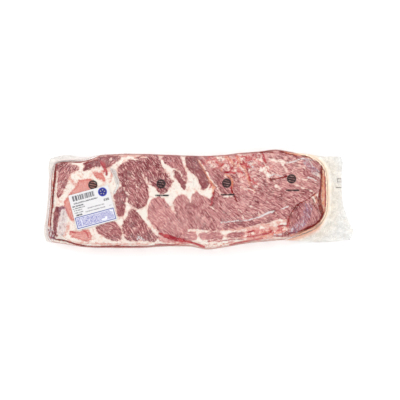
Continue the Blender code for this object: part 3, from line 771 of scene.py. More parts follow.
def rack_of_ribs():
    u = crowded(MEAT_LENGTH, RACK_END_LINES, RACK_PITCH)
    v = crowded(MEAT_WIDTH, RACK_SIDE_LINES, RACK_PITCH)
    plan = patch(RACK_NEAR, RACK_FAR, RACK_LEFT, RACK_RIGHT, u, v)
    x, y = plan[..., 0], plan[..., 1]
    depth = np.maximum(distance_inside(MEAT_LOOP, x, y), 0)
    for border in (np.s_[0], np.s_[-1], np.s_[:, 0], np.s_[:, -1]):
        depth[border] = 0

    lean, tone, marbling, grain = muscle_values(x, y)
    tables = {"peach": PEACH_SEAMS, "blood": BLOOD, "gap": GAPS, "pink": PINK_FAT, "torn": TORN}
    drawn = {name: lines_within(lines, x, y) for name, lines in tables.items()}
    sink = FAT_SINKS * (1 - ramp(lean, *FAT_EDGE)) + GAP_SINKS * ramp(drawn["gap"], *GAP_EDGE)
    sink = sink * ramp(depth, *SINK_START)

    # The film spans steep edges in short flats where it isn't cut along them: the meat keeps clear
    long_side = np.minimum(np.abs(y - np.interp(x, NEAR[:, 0], NEAR[:, 1])),
                           np.abs(y - np.interp(x, FAR[:, 0], FAR[:, 1])))
    spanned = SPAN_CLEARANCE * ramp(long_side - depth, 0, SPAN_FROM_SIDES)
    spanned = spanned * (1 - ramp(depth, *SPAN_FADE))
    data, column, row, upper = flat_shell("rack_of_ribs", len(u) - 1, len(v) - 1)
    inset = MEAT_UNDER_FILM + spanned[column, row] + np.where(upper, sink[column, row], 0.0)
    heights = (top_of_meat(x, y, depth) + SOLID_FILM / 2, bottom_of_meat(x, y, depth))
    deform(data, column, row, upper, plan, heights, inset)

    def per_vertex(top, bottom):
        return np.where(upper, top[column, row], np.broadcast_to(bottom, x.shape)[column, row])

    across = across_ribs(x, y)
    from_crest = (np.abs(across - np.round(across)) * RIB_PITCH)[column, row]
    spots = np.empty(len(column) * 3, np.float32)
    data.vertices.foreach_get("co", spots)
    bone = bone_ends(across[column, row], from_crest, spots.reshape(-1, 3)[:, 2] / MM)
    rim = np.where(y > 0, np.interp(x, *RIM_FAR), np.interp(x, *RIM_NEAR))
    add_values(data, {
        "lean": per_vertex(lean, 0.0),
        "tone": per_vertex(tone, 0.0),
        "marbling": per_vertex(marbling, 0.0),
        **{name: per_vertex(within, FAR_AWAY) for name, within in drawn.items()},
        "rim": rim[column, row],
        "depth": depth[column, row],
        "wall": 1 - ramp(depth, 0.0, WALL_WIDTH)[column, row],
        "underside": np.where(upper, 0.0, 1.0),
        "crest": from_crest,
        "bone": np.where(long_side[column, row] < BONE_SIDE, bone, FAR_AWAY),
    })
    add_vectors(data, "grain", np.where(upper[:, None], grain[column, row],
                                        np.stack([y, x, 0 * x], -1)[column, row]))
    add_piece(data, raw_pork(), "vacuum_bag_of_ribs")


# ---- the film
FILM_PITCH = 1.45
FILM_SIDE_LINES = profile(SHOULDER, END_STEPS)
FILM_END_LINES = (1.0, 2.0)
BAG_LENGTH = 424.0
BAG_WIDTH = 126.0
CRINKLE_HEIGHT = 0.45
CRINKLE_SIZES = (9.0, 4.0)
CRINKLE_DEPTH = 4.0
CRINKLE_START = (1.0, 8.0)     # distances from the meat over which they rise


def crinkles(x, y, outside):
    """Sharp little creases all over the flat film."""
    found = np.zeros(x.shape)
    loose = outside > CRINKLE_START[0]
    for size in CRINKLE_SIZES:
        found[loose] += [abs(noise.noise(Vector((px / size, py / size, size)))) * size
                         for px, py in zip(x[loose], y[loose])]
    creased = 1 - found / sum(CRINKLE_SIZES) * CRINKLE_DEPTH
    return CRINKLE_HEIGHT * ramp(outside, *CRINKLE_START) * creased


def vacuum_film():
    u = crowded(BAG_LENGTH, FILM_END_LINES, FILM_PITCH)
    v = crowded(BAG_WIDTH, FILM_SIDE_LINES, FILM_PITCH)
    left, right = smooth_line(BAG_LEFT), smooth_line(BAG_RIGHT)
    plan = patch(NEAR, FAR, left, right, u, v)
    x, y = plan[..., 0], plan[..., 1]
    depth = distance_inside(MEAT_LOOP, x, y)
    outside = np.maximum(-depth, 0)
    flat = film_height(x, y, outside)
    rise = np.maximum(crinkles(x, y, outside), SHELF_GAP + SOLID_FILM / 2 - flat)
    heights = (np.where(depth > 0, top_of_meat(x, y, depth), flat + rise) + SOLID_FILM / 2,
               np.where(depth > 0, bottom_of_meat(x, y, depth), flat + rise - SOLID_FILM / 2))
    data, column, row, upper = flat_shell("vacuum_film", len(u) - 1, len(v) - 1)
    deform(data, column, row, upper, plan, heights)

    to_badges = np.stack([np.stack([x - bx, y - by], -1) for bx, by in BADGES])
    nearest = np.argmin((to_badges ** 2).sum(-1), 0)
    spot = np.take_along_axis(to_badges, nearest[None, ..., None], 0)[0]
    spot = np.where(upper[:, None], spot[column, row], FAR_AWAY)
    add_vectors(data, "print_spot", np.column_stack([spot, np.zeros(len(spot))]))
    hem = np.minimum(np.minimum(u, 1 - u)[:, None] * BAG_LENGTH,
                     np.minimum(v, 1 - v)[None, :] * BAG_WIDTH)
    bubbles = np.full(x.shape, FAR_AWAY)
    for x0, x1, y0, y1 in BUBBLES:
        bubbles = np.maximum(bubbles, np.minimum(np.minimum(x - x0, x1 - x),
                                                 np.minimum(y - y0, y1 - y)))
    on_top = {
        "glint": lines_within(FOLD_GLINTS, x, y),
        "pressed": distance_inside(smooth_line(PRESSED_FOLD, LINE_SPANS, closed=True), x, y),
        "bubbles": bubbles,
        "puckers": lines_within(PUCKERS, x, y),
    }
    top_only = np.where(upper, 0.0, FAR_AWAY)
    add_values(data, {
        "outside": -depth[column, row],
        "hem": hem[column, row],
        "top": np.where(upper, 1.0, 0.0),
        **{name: within[column, row] + top_only for name, within in on_top.items()},
    })
    add_piece(data, clear_film(), "vacuum_bag_of_ribs")


# ---- shader building
WHITE = 1.3                    # brightness of a perfectly white surface in this light


def colour(red, green, blue):
    """A surface colour that shows as these 0-255 screen values in the studio light."""
    found = []
    for value in (red, green, blue):
        share = value / 255
        linear = share / 12.92 if share <= 0.04045 else ((share + 0.055) / 1.055) ** 2.4
        found.append(linear / WHITE)
    return (*found, 1.0)


class Graph:
    """Adds shader nodes to a node tree. Inputs are numbers, colours or other nodes' outputs."""

    def __init__(self, tree):
        self.tree = tree

    def add(self, kind, inputs, output=0, **settings):
        node = self.tree.nodes.new(kind)
        for name, value in settings.items():
            setattr(node, name, value)
        for socket, value in inputs.items():
            if isinstance(value, bpy.types.NodeSocket):
                self.tree.links.new(value, node.inputs[socket])
            else:
                node.inputs[socket].default_value = value
        return node.outputs[output]

    def math(self, operation, *values):
        return self.add("ShaderNodeMath", dict(enumerate(values)), operation=operation)

    def chain(self, operation, first, *others):
        """One operation on any number of values, from the left."""
        for value in others:
            first = self.math(operation, first, value)
        return first

    def plus(self, *values):
        return self.chain("ADD", *values)

    def times(self, *values):
        return self.chain("MULTIPLY", *values)

    def most(self, *values):
        return self.chain("MAXIMUM", *values)

    def scaled(self, value, factor, offset):
        return self.math("MULTIPLY_ADD", value, factor, offset)

    def spread(self, pattern, reach):
        """A noise from 0 to 1 turned into one from minus this reach to plus it."""
        return self.scaled(pattern, 2 * reach, -reach)

    def off_middle(self, pattern):
        """How far a noise is from its middle value, which makes winding lines where it is low."""
        return self.math("ABSOLUTE", self.math("SUBTRACT", pattern, 0.5))

    def smooth(self, value, low, high, start=0.0, end=1.0):
        """start up to low, end from high on, and a smooth S between them."""
        return self.add("ShaderNodeMapRange", {0: value, 1: low, 2: high, 3: start, 4: end},
                        interpolation_type="SMOOTHSTEP")

    def within(self, value, middle, half, soft):
        """1 where a value lies this close to the middle one."""
        away = self.math("ABSOLUTE", self.math("SUBTRACT", value, middle))
        return self.smooth(away, half + soft, half - soft)

    def box(self, u, v, middle_u, middle_v, half_u, half_v):
        """1 inside a box."""
        return self.times(self.within(u, middle_u, half_u, 0.2), self.within(v, middle_v, half_v, 0.2))

    def radius(self, u, v):
        return self.math("SQRT", self.plus(self.times(u, u), self.times(v, v)))

    def mix(self, factor, first, second):
        return self.add("ShaderNodeMix", {0: factor, 6: first, 7: second}, 2, data_type="RGBA")

    def paint(self, base, *coats):
        """Coats of colour over a base, one after the other. Each is a mask and a colour."""
        for mask, coat in coats:
            base = self.mix(mask, base, coat)
        return base

    def stops(self, value, colours):
        """Colours along a value: a list of (value, screen colour)."""
        node = self.tree.nodes.new("ShaderNodeValToRGB")
        elements = node.color_ramp.elements
        while len(elements) < len(colours):
            elements.new(0.5)
        for element, (spot, screen) in zip(elements, colours):
            element.position = spot
            element.color = colour(*screen)
        self.tree.links.new(value, node.inputs[0])
        return node.outputs[0]

    def stretch(self, vector, scale):
        return self.add("ShaderNodeVectorMath", {0: vector, 1: scale}, operation="MULTIPLY")

    def noise(self, vector, scale, detail=2.0, roughness=0.5):
        return self.add("ShaderNodeTexNoise", {"Vector": vector, "Scale": scale,
                                               "Detail": detail, "Roughness": roughness})

    def attribute(self, name, output="Fac"):
        return self.add("ShaderNodeAttribute", {}, output, attribute_name=name)

    def place(self):
        """The point on the piece, in millimetres."""
        return self.stretch(self.add("ShaderNodeTexCoord", {}, "Object"), (1 / MM,) * 3)

    def axes(self, vector):
        node = self.tree.nodes.new("ShaderNodeSeparateXYZ")
        self.tree.links.new(vector, node.inputs[0])
        return node.outputs

    def bump(self, height, distance, strength=1.0):
        return self.add("ShaderNodeBump", {"Height": height, "Distance": distance * MM,
                                           "Strength": strength})

    def show(self, shader):
        end = self.tree.nodes.new("ShaderNodeOutputMaterial")
        self.tree.links.new(shader, end.inputs["Surface"])


def new_material(name):
    """An empty material and its graph."""
    made = bpy.data.materials.new(name)
    made.use_nodes = True
    made.node_tree.nodes.clear()
    return made, Graph(made.node_tree)


# ---- raw pork
LEAN_COLOURS = ((0.0, (116, 54, 60)), (0.2, (144, 80, 84)), (0.42, (172, 107, 109)),
                (0.62, (196, 136, 134)), (0.82, (214, 157, 152)), (1.0, (228, 176, 168)))
SIDE_COLOURS = ((0.08, (222, 180, 168)), (0.20, (186, 112, 106)), (0.31, (230, 200, 184)),
                (0.42, (170, 90, 86)), (0.54, (142, 66, 64)), (0.66, (178, 104, 96)),
                (0.80, (222, 178, 160)), (0.95, (236, 206, 188)))
SIDE_TOP = 32.0                # the height at which the colours of the cut sides end


def pork_patterns(g):
    """The noises that the colours of the meat share."""
    place = g.place()
    sway = g.add("ShaderNodeCombineXYZ", {1: g.spread(g.noise(place, 0.05, 2), 4.0)})
    grain = g.add("ShaderNodeVectorMath", {0: g.attribute("grain", "Vector"), 1: sway})
    return SimpleNamespace(
        place=place,
        grain=grain,
        broad=g.noise(place, 0.045, 2),
        cloudy=g.noise(place, 0.14, 3),
        blotches=g.noise(place, 0.33, 3, 0.6),
        fine=g.noise(place, 0.9, 3, 0.6),
        fibres=g.noise(g.stretch(grain, (0.055, 0.40, 1)), 1.0, 3, 0.65),
        wander=g.spread(g.noise(place, 0.38, 4, 0.65), 1.5),
    )


def lean_colour(g, p, inside):
    """Lean, with its own lightness, long fibres and pale marbling."""
    marbling = g.attribute("marbling")
    grit = g.noise(p.place, 1.3, 2, 0.7)
    change = 0.0
    for pattern, strength in ((p.cloudy, 1.1), (p.blotches, 0.6), (p.fibres, 1.0), (grit, 1.2)):
        change = g.scaled(g.math("SUBTRACT", pattern, 0.5), strength, change)
    pale_thread = g.off_middle(g.noise(g.stretch(p.grain, (0.032, 0.30, 1)), 1.0, 1))
    dark_thread = g.off_middle(g.noise(g.stretch(p.grain, (0.040, 0.36, 1)), 1.0, 1))
    tone = g.plus(
        g.scaled(change, g.scaled(marbling, 0.5, 0.6), g.attribute("tone")),
        g.smooth(inside, 1.6, 0.2, 0.0, -0.10),
        g.smooth(dark_thread, 0.06, 0.01, 0.0, -0.26),
        g.smooth(pale_thread, 0.05, 0.01, 0.0, 0.30))
    salmon = g.smooth(g.attribute("tone"), 0.72, 0.9)
    flushed = g.smooth(g.scaled(p.cloudy, 8.0, g.attribute("lean")), 8.5, 5.0)
    marks = g.scaled(marbling, 0.09, g.noise(g.stretch(p.grain, (0.17, 0.75, 1)), 1.0, 2))
    return g.paint(
        g.stops(tone, LEAN_COLOURS),
        (g.times(salmon, 0.6), colour(214, 136, 124)),
        (g.times(salmon, flushed, 0.6), colour(198, 98, 90)),
        (g.smooth(marks, 0.62, 0.69, 0.0, 0.8), colour(236, 194, 184)))


def fat_colour(g, p, inside):
    """Fat, creamy with a pink blush, pinker towards the lean."""
    tinge = g.smooth(g.plus(g.attribute("pink"), g.spread(p.cloudy, 4.5)), -1.0, 1.6)
    return g.paint(
        colour(237, 228, 218),
        (g.smooth(p.cloudy, 0.50, 0.70), colour(233, 206, 192)),
        (g.smooth(p.broad, 0.48, 0.62, 0.0, 0.5), colour(234, 215, 205)),
        (g.smooth(inside, -2.0, -0.2, 0.0, 0.55), colour(222, 148, 134)),
        (g.times(tinge, g.smooth(p.blotches, 0.3, 0.6, 0.35, 0.9)), colour(212, 140, 128)),
        (g.smooth(g.noise(p.place, 0.28, 2), 0.58, 0.66, 0.0, 0.45), colour(206, 128, 118)),
        (g.smooth(p.fine, 0.46, 0.66, 0.0, 0.3), colour(250, 240, 230)))


def side_colour(g, p):
    """Cut sides, in layers, with the ends of the ribs."""
    height = g.axes(p.place)[2]
    level = g.scaled(g.noise(g.stretch(p.place, (1, 1, 2.5)), 0.09, 3), 9.0, height)
    layers = g.noise(g.stretch(p.place, (0.07, 0.07, 0.85)), 1.0, 4, 0.62)
    bone = g.plus(g.attribute("bone"), g.scaled(p.blotches, 5.0, -2.8))
    bone_colour = g.mix(g.smooth(bone, 0.6, 2.2), colour(238, 220, 204), colour(206, 130, 118))
    return g.paint(
        g.stops(g.math("DIVIDE", level, SIDE_TOP), SIDE_COLOURS),
        (g.smooth(layers, 0.48, 0.36, 0.0, 0.7), colour(132, 56, 58)),
        (g.smooth(layers, 0.53, 0.62, 0.0, 0.75), colour(238, 208, 192)),
        (g.smooth(p.fine, 0.5, 0.7, 0.0, 0.4), colour(232, 190, 176)),
        (g.smooth(bone, -0.3, 0.3), bone_colour))


def underside_colour(g, p):
    """Pale ribs under silver skin, and lean between them."""
    off_rib = g.plus(g.attribute("crest"), g.spread(p.cloudy, 4.5), p.wander)
    bony = g.mix(g.smooth(p.fibres, 0.35, 0.65), colour(222, 190, 182), colour(240, 222, 212))
    between = g.mix(g.smooth(p.fibres, 0.38, 0.62), colour(160, 84, 86), colour(206, 140, 134))
    membrane = g.noise(g.stretch(p.place, (0.04, 0.22, 1)), 1.0, 3, 0.6)
    return g.paint(
        bony,
        (g.smooth(off_rib, 5.5, 10.5), between),
        (g.smooth(p.broad, 0.56, 0.62, 0.0, 0.8), colour(236, 216, 198)),
        (g.smooth(membrane, 0.52, 0.66, 0.0, 0.55), colour(226, 208, 212)),
        (g.smooth(membrane, 0.44, 0.36, 0.0, 0.4), colour(176, 96, 94)))


def raw_pork():
    made, g = new_material("raw pork")
    p = pork_patterns(g)
    inside = g.plus(g.attribute("lean"), g.spread(g.noise(p.place, 0.22, 4, 0.7), 4.5))
    lean_mask = g.smooth(inside, -0.6, 0.6)
    # Pale specks: partly fine flecks of fat, partly painted glints of light on the film
    specks_and_glints = g.smooth(g.noise(p.place, 0.62, 2), 0.64, 0.72, 0.0, 0.35)

    # Flecks of fat and thin veins of blood where lean and fat are torn together
    torn = g.smooth(g.attribute("torn"), -4.0, 4.0)
    fleck = g.smooth(g.noise(p.place, 0.15, 3, 0.6), 0.55, 0.60, 0.0, 0.85)
    vein = g.smooth(g.off_middle(g.noise(p.place, 0.07, 3, 0.6)), 0.035, 0.012, 0.0, 0.75)

    # Juice-stained seams, blood, the dark edge and the dark gaps
    stained = g.times(g.smooth(g.plus(g.attribute("peach"), p.wander), -0.9, 0.7),
                      g.smooth(p.cloudy, 0.35, 0.6, 0.6, 0.95),
                      g.smooth(torn, 0.0, 1.0, 1.0, 0.55))
    stain = g.mix(g.smooth(p.blotches, 0.42, 0.6), colour(216, 122, 86), colour(234, 172, 140))
    bloody = g.smooth(g.plus(g.attribute("blood"), p.wander), -1.2, 0.8, 0.0, 0.95)
    blood = g.mix(g.smooth(p.cloudy, 0.42, 0.6), colour(150, 28, 46), colour(186, 70, 76))
    edge = g.within(g.scaled(p.wander, 0.4, g.attribute("depth")), 1.5, 1.1, 0.6)
    hollow = g.smooth(g.plus(g.attribute("gap"), p.wander), -0.7, 0.5, 0.0, 0.98)
    shadow = g.mix(g.smooth(p.blotches, 0.4, 0.6), colour(98, 16, 22), colour(146, 44, 42))

    wall = g.attribute("wall")
    beneath = g.times(g.attribute("underside"), g.math("SUBTRACT", 1.0, wall))
    meat = g.paint(
        g.mix(lean_mask, fat_colour(g, p, inside), lean_colour(g, p, inside)),
        (specks_and_glints, colour(250, 236, 228)),
        (g.times(fleck, torn), colour(240, 218, 204)),
        (g.times(vein, torn), colour(192, 66, 70)),
        (stained, stain),
        (bloody, blood),
        (g.times(edge, g.attribute("rim")), colour(124, 44, 46)),
        (hollow, shadow),
        (wall, side_colour(g, p)),
        (beneath, underside_colour(g, p)))
    relief = g.plus(g.times(p.fibres, 0.5), g.times(p.fine, 0.25), g.times(lean_mask, 0.35))
    g.show(g.add("ShaderNodeBsdfPrincipled", {
        "Base Color": meat, "Roughness": g.smooth(p.fine, 0.3, 0.7, 0.42, 0.6),
        "Specular IOR Level": 0.0, "Normal": g.bump(relief, 0.28)}))
    return made


# ---- clear film with its print. Boxes are (middle x, middle y, half width, half height).
SHEEN = (0.008, 0.17)          # share of light the film reflects head-on, and added at grazing
BADGE_RADIUS = 6.2
BADGE_HATCHED = 4.6
BADGE_BAR = (1.4, -15.8, 9.2, 1.1)
TAIL_MARK = (197.3, 27.0, 3.4, 2.8)
TAIL_HOLE = (197.3, 27.0, 2.4, 1.8)
TAIL_DASH = (197.3, 17.0, 5.4, 0.6)


def film_print(g, east, north):
    """Round badges with a plain pattern, a row of small blocks under each, and marks on the tail."""
    spot = g.attribute("print_spot", "Vector")
    px, py, _ = g.axes(spot)
    radius = g.radius(px, py)
    disc = g.smooth(radius, BADGE_RADIUS + 0.3, BADGE_RADIUS - 0.3)
    rim = g.within(radius, BADGE_RADIUS - 0.5, 0.6, 0.25)
    waves = g.math("COSINE", g.scaled(py, 1.9, g.times(px, 0.35)))
    hatch = g.times(g.smooth(waves, 0.0, 0.6), g.smooth(radius, BADGE_HATCHED + 0.3, BADGE_HATCHED - 0.3))
    badge = g.most(rim, g.times(disc, g.scaled(hatch, -0.6, 0.95)))
    blocks = g.noise(g.stretch(spot, (0.5, 0.1, 0)), 1.0, 1)
    bar = g.times(g.box(px, py, *BADGE_BAR), g.smooth(blocks, 0.38, 0.46, 0.45, 1.0))
    mark = g.math("SUBTRACT", g.box(east, north, *TAIL_MARK), g.box(east, north, *TAIL_HOLE))
    tail = g.most(mark, g.box(east, north, *TAIL_DASH))
    return g.most(g.times(g.most(badge, bar), 0.88), g.times(tail, g.attribute("top"), 0.4))


def clear_film():
    made, g = new_material("clear film")
    place = g.place()
    east, north, _ = g.axes(place)
    outside = g.attribute("outside")
    wide_end = g.smooth(east, 60.0, 150.0)
    crumple = g.noise(place, 0.12, 4, 0.62)
    creases = g.smooth(g.off_middle(crumple), 0.035, 0.0)
    fine_creases = g.smooth(g.off_middle(g.noise(place, 0.34, 3, 0.6)), 0.03, 0.0)
    patches = g.noise(place, 0.05, 3)
    pleats = g.noise(g.stretch(place, (0.30, 0.02, 1)), 1.0, 2)
    hem = g.smooth(g.attribute("hem"), 1.4, 0.4)
    ink = film_print(g, east, north)

    # Where the film is loose: off the meat, and on a strip lapped over the wide end's lip
    corners = g.smooth(g.math("ABSOLUTE", north), 32.0, 42.0)
    over_end = g.most(g.smooth(east, 158.0, 174.0), g.times(g.smooth(east, 122.0, 144.0), corners))
    uneven = g.spread(g.noise(place, 0.16, 3, 0.6), 2.0)
    lapped = g.times(g.within(g.plus(outside, uneven), -1.9, 1.0, 0.6), over_end, g.attribute("top"))
    loose = g.most(g.smooth(outside, 0.0, g.smooth(wide_end, 0.0, 1.0, 1.8, 1.2)), lapped)
    doubled = g.most(g.times(g.smooth(outside, 9.0, 3.0), g.smooth(outside, 0.0, 1.2)), lapped)

    # A fold pressed against the meat, painted in streaks of light and shade; painted glints; and bubbles
    # ringed with painted highlights
    fold_edge = g.attribute("pressed")
    pressed = g.smooth(g.plus(fold_edge, g.spread(crumple, 1.5)), -0.6, 0.6)
    fold_light_and_shade = g.smooth(g.math("SINE", g.scaled(fold_edge, 3.4, g.times(crumple, 9.0))), -0.3, 0.7)
    glint = g.plus(g.attribute("glint"), g.scaled(g.noise(place, 0.4, 3), 3.6, -1.7))
    glint = g.smooth(glint, -0.5, 0.5)
    # Bubbles: rings of painted highlight along the cells' edges
    cells = g.add("ShaderNodeTexVoronoi", {"Vector": place, "Scale": 0.36}, "Distance",
                  feature="DISTANCE_TO_EDGE")
    bubble_highlights = g.times(g.smooth(cells, 0.26, 0.08), g.smooth(g.attribute("bubbles"), 0, 1),
                    g.smooth(g.noise(place, 0.2, 1), 0.46, 0.56))

    # Fine puckers, with painted shade on one side and a painted highlight on the other, under a lilac
    # painted sheen
    ridges = g.noise(g.stretch(place, (0.42, 0.13, 0.2)), 1.0, 3, 0.6)
    puckered = g.smooth(g.attribute("puckers"), 0.0, 4.0)
    pucker_painted_shade = g.times(puckered, g.smooth(ridges, 0.48, 0.40))
    pucker_painted_highlight = g.times(puckered, g.smooth(ridges, 0.53, 0.60))

    near_corner = g.times(g.smooth(north, -22.0, -32.0), g.smooth(east, 104.0, 130.0),
                          g.smooth(east, 176.0, 164.0), g.smooth(outside, 9.0, 1.0, 0.0, 0.85))
    flat_film = g.paint(
        (0.88, 0.80, 0.68, 1),
        (g.smooth(outside, 4.0, 30.0), (0.81, 0.81, 0.80, 1)),
        (g.smooth(patches, 0.48, 0.62, 0.0, 0.7), (0.90, 0.87, 0.81, 1)),
        (g.smooth(pleats, 0.52, 0.62, 0.0, 0.35), (0.93, 0.92, 0.90, 1)),
        (g.smooth(pleats, 0.46, 0.38, 0.0, 0.4), (0.80, 0.72, 0.62, 1)))
    milky = g.paint(
        (0.72, 0.68, 0.64, 1),
        (wide_end, flat_film),
        # grey along the film's creases: painted shade
        (g.times(g.most(creases, fine_creases), 0.4), (0.60, 0.59, 0.57, 1)),
        (g.times(hem, 0.6), (0.62, 0.61, 0.60, 1)),
        (g.smooth(outside, 5.0, 0.0), g.mix(wide_end, (0.70, 0.60, 0.57, 1), (0.93, 0.70, 0.52, 1))),
        (near_corner, colour(238, 172, 144)),
        # the pressed fold: painted shade and painted highlight in streaks
        (pressed, g.mix(fold_light_and_shade, colour(178, 170, 172), colour(236, 232, 230))),
        # painted highlights: the glints on the folds and the rings round the bubbles
        (g.most(glint, bubble_highlights), colour(250, 240, 240)),
        # the puckers: a lilac painted sheen, then painted shade and painted highlights
        (puckered, colour(200, 150, 184)),
        (pucker_painted_shade, colour(150, 122, 140)),
        (pucker_painted_highlight, colour(246, 240, 244)),
        (g.smooth(ink, 0.0, 0.3), colour(40, 30, 32)))

    # How much of what lies under the film is veiled
    over_floor = g.times(loose, g.most(g.scaled(crumple, 0.4, 0.28), hem, fine_creases))
    veil = g.most(
        g.scaled(doubled, g.smooth(wide_end, 0.0, 1.0, 0.36, 0.42), over_floor),
        g.times(g.smooth(patches, 0.46, 0.6), fine_creases, 0.35),
        g.times(pressed, g.scaled(fold_light_and_shade, 0.5, 0.35)),
        g.times(puckered, 0.14),
        g.times(glint, 0.7),
        g.times(bubble_highlights, 0.6),
        g.times(g.most(pucker_painted_shade, pucker_painted_highlight), 0.42))

    bumped = g.bump(g.plus(g.noise(place, 0.22, 3), g.times(creases, loose, 0.5)), 1.1, 0.6)
    body = g.add("ShaderNodeBsdfPrincipled", {"Base Color": milky, "Roughness": 0.32,
                                              "Normal": bumped})
    gloss = g.add("ShaderNodeBsdfAnisotropic", {"Color": (1, 1, 1, 1), "Roughness": 0.12,
                                                "Normal": bumped})
    clear = g.add("ShaderNodeBsdfTransparent", {})
    grazing = g.add("ShaderNodeLayerWeight", {"Blend": 0.5, "Normal": bumped}, "Facing")
    sheen = g.scaled(g.math("POWER", grazing, 4.0), SHEEN[1], SHEEN[0])
    film = g.add("ShaderNodeMixShader", {0: sheen, 1: clear, 2: gloss})
    g.show(g.add("ShaderNodeMixShader", {0: g.most(veil, ink), 1: film, 2: body}))
    return made


# ---- the price label, in its own axes. Boxes are (middle u, middle v, half width, half height).
CODE_BOX = (-8.5, 18.6, 15.5, 3.7)
TEXT_ROWS = (                  # boxes, each with how dark it is
    (-7.0, 11.6, 17.0, 1.0, 0.8), (-19.0, 7.8, 8.0, 1.0, 0.85), (-18.5, 4.8, 8.5, 0.8, 0.75),
    (-20.0, 1.8, 6.0, 0.8, 0.65), (-20.0, -1.4, 6.0, 0.8, 0.65), (-20.5, -4.8, 4.5, 1.2, 0.95),
    (5.0, 1.0, 12.0, 0.8, 0.6), (3.0, -3.2, 14.0, 0.8, 0.6), (21.0, 6.2, 3.8, 1.6, 0.8),
    (24.5, -3.0, 1.6, 0.5, 0.6),
)
PANEL = (0.0, -15.2, 27.4, 8.0)
PANEL_EDGE = 1.2
PANEL_LINE = (1.1, 2.0)        # insets between which the white line lies
PANEL_CELL = (7.6, 0.45)       # width of the cell at the left, and half width of its line
PANEL_PATCHES = ((11.5, -19.4, 3.6, 1.2), (14.5, -18.0, 1.6, 1.6), (24.0, -10.6, 2.6, 0.8),
                 (25.4, -13.2, 0.6, 2.6))
DISC = (18.6, 17.4, 6.3)       # middle and radius
DISC_RIM = 5.3
DISC_DOTS = 5


def label_panel(g, u, v, local):
    """Blue panel with a rounded outline, a white line inside it and a cell at its left."""
    pu, pv, hu, hv = PANEL

    def inset(by):
        return g.box(u, v, pu, pv, hu - by, hv - by)

    white_line = g.math("SUBTRACT", inset(PANEL_LINE[0]), inset(PANEL_LINE[1]))
    cell_line = g.box(u, v, pu - hu + PANEL_CELL[0], pv, PANEL_CELL[1], hv - PANEL_LINE[1])
    fill = g.mix(g.smooth(g.noise(local, 0.9, 2), 0.40, 0.60), colour(134, 134, 190),
                 colour(216, 214, 230))
    return inset(0), g.paint(
        colour(58, 62, 148),
        (inset(PANEL_EDGE), fill),
        (g.most(white_line, cell_line), colour(226, 228, 240)),
        *((g.box(u, v, *patch_box), colour(236, 236, 244)) for patch_box in PANEL_PATCHES))


def label_disc(g, u, v):
    """Round blue sticker with a ring of pale dots."""
    du, dv = g.math("SUBTRACT", u, DISC[0]), g.math("SUBTRACT", v, DISC[1])
    radius = g.radius(du, dv)
    around = g.math("COSINE", g.times(g.math("ARCTAN2", dv, du), DISC_DOTS))
    dots = g.times(g.smooth(around, 0.55, 0.9), g.within(radius, 2.9, 0.7, 0.3))
    return g.smooth(radius, DISC[2] + 0.25, DISC[2] - 0.25), g.paint(
        colour(84, 88, 186),
        (g.smooth(radius, DISC_RIM + 0.3, DISC_RIM - 0.3), colour(16, 18, 128)),
        (dots, colour(214, 216, 168)))


def label_paper():
    made, g = new_material("label paper")
    middle = (LABEL_CENTRE[0] + PLAN_SHIFT[0], LABEL_CENTRE[1] + PLAN_SHIFT[1], 0)
    local = g.add("ShaderNodeMapping", {
        "Vector": g.add("ShaderNodeTexCoord", {}, "Object"),
        "Location": [m * MM for m in middle], "Rotation": (0, 0, LABEL_TURN),
        "Scale": (MM, MM, MM)}, vector_type="TEXTURE")
    u, v, _ = g.axes(local)
    stripes = g.smooth(g.noise(g.stretch(local, (1, 0, 0)), 0.75, 1), 0.42, 0.54)
    letters = g.smooth(g.noise(g.stretch(local, (0.8, 0.45, 0)), 1.0, 1), 0.36, 0.50)
    ink = g.most(g.times(g.box(u, v, *CODE_BOX), stripes, 0.95),
                 *(g.times(g.box(u, v, *row), letters, dark) for *row, dark in TEXT_ROWS))
    paper = g.paint(
        colour(234, 232, 233),
        (g.noise(local, 0.2, 2), colour(224, 222, 224)),
        (ink, colour(48, 48, 58)),
        label_panel(g, u, v, local),
        label_disc(g, u, v))
    g.show(g.add("ShaderNodeBsdfPrincipled", {
        "Base Color": paper, "Roughness": g.smooth(g.noise(local, 0.5, 3), 0.3, 0.7, 0.45, 0.55),
        "Normal": g.bump(g.noise(local, 0.35, 2), 0.25)}))
    return made


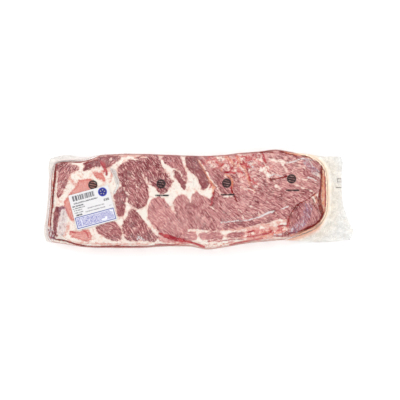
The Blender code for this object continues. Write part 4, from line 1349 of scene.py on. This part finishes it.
# ---- studio
FLOOR_SIZE = 4.0
CAMERA_PLACE = (0.0016, -0.0699, 1.3245)
CAMERA_AIM = (0.0016, -0.0007, 0.005)
LENS = 85
VIEW_END = 20
OVERHEAD = (0.80, 0.98, 1.2, 0.5)     # the surroundings dim from one height to the other
SOFT_BOXES = (
    ("far soft box", (-0.4, 1.2, 1.2), (1.4, 0.6), 13.0),
    ("near soft box", (0.3, -1.4, 1.5), (1.6, 0.8), 13.0),
)


def floor_finish():
    made, g = new_material("pale floor")
    tint = g.mix(g.noise(g.place(), 0.02, 2), (0.93, 0.93, 0.93, 1), (0.95, 0.95, 0.95, 1))
    g.show(g.add("ShaderNodeBsdfPrincipled", {"Base Color": tint, "Roughness": 0.9,
                                              "Specular IOR Level": 0.1}))
    return made


def surroundings():
    world = bpy.data.worlds.new("studio")
    bpy.context.scene.world = world
    world.use_nodes = True
    g = Graph(world.node_tree)
    upwards = g.axes(g.add("ShaderNodeTexCoord", {}, "Generated"))[2]
    background = world.node_tree.nodes["Background"]
    background.inputs["Color"].default_value = (1, 1, 1, 1)
    world.node_tree.links.new(g.smooth(upwards, *OVERHEAD), background.inputs["Strength"])


def stand(name, data, place, aim):
    """A light or camera at this place, turned to look at the aim."""
    found = bpy.data.objects.new(name, data)
    found.location = place
    found.rotation_euler = (Vector(aim) - Vector(place)).to_track_quat("-Z", "Y").to_euler()
    bpy.context.scene.collection.objects.link(found)
    return found


def studio():
    mesh = bmesh.new()
    bmesh.ops.create_grid(mesh, x_segments=1, y_segments=1, size=FLOOR_SIZE / 2)
    data = bpy.data.meshes.new("floor")
    mesh.to_mesh(data)
    mesh.free()
    data.materials.append(floor_finish())
    floor = bpy.data.objects.new("floor", data)
    bpy.context.scene.collection.objects.link(floor)

    surroundings()
    for name, place, size, power in SOFT_BOXES:
        light = bpy.data.lights.new(name, "AREA")
        light.shape = "RECTANGLE"
        light.size, light.size_y = size
        light.energy = power
        stand(name, light, place, (0, 0, 0))
    view = bpy.data.cameras.new("camera")
    view.lens = LENS
    view.clip_end = VIEW_END
    bpy.context.scene.camera = stand("camera", view, CAMERA_PLACE, CAMERA_AIM)
    bpy.context.scene.view_settings.view_transform = "Standard"


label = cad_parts["price_label"].data
label.materials.clear()
label.materials.append(label_paper())
rack_of_ribs()
vacuum_film()
studio()
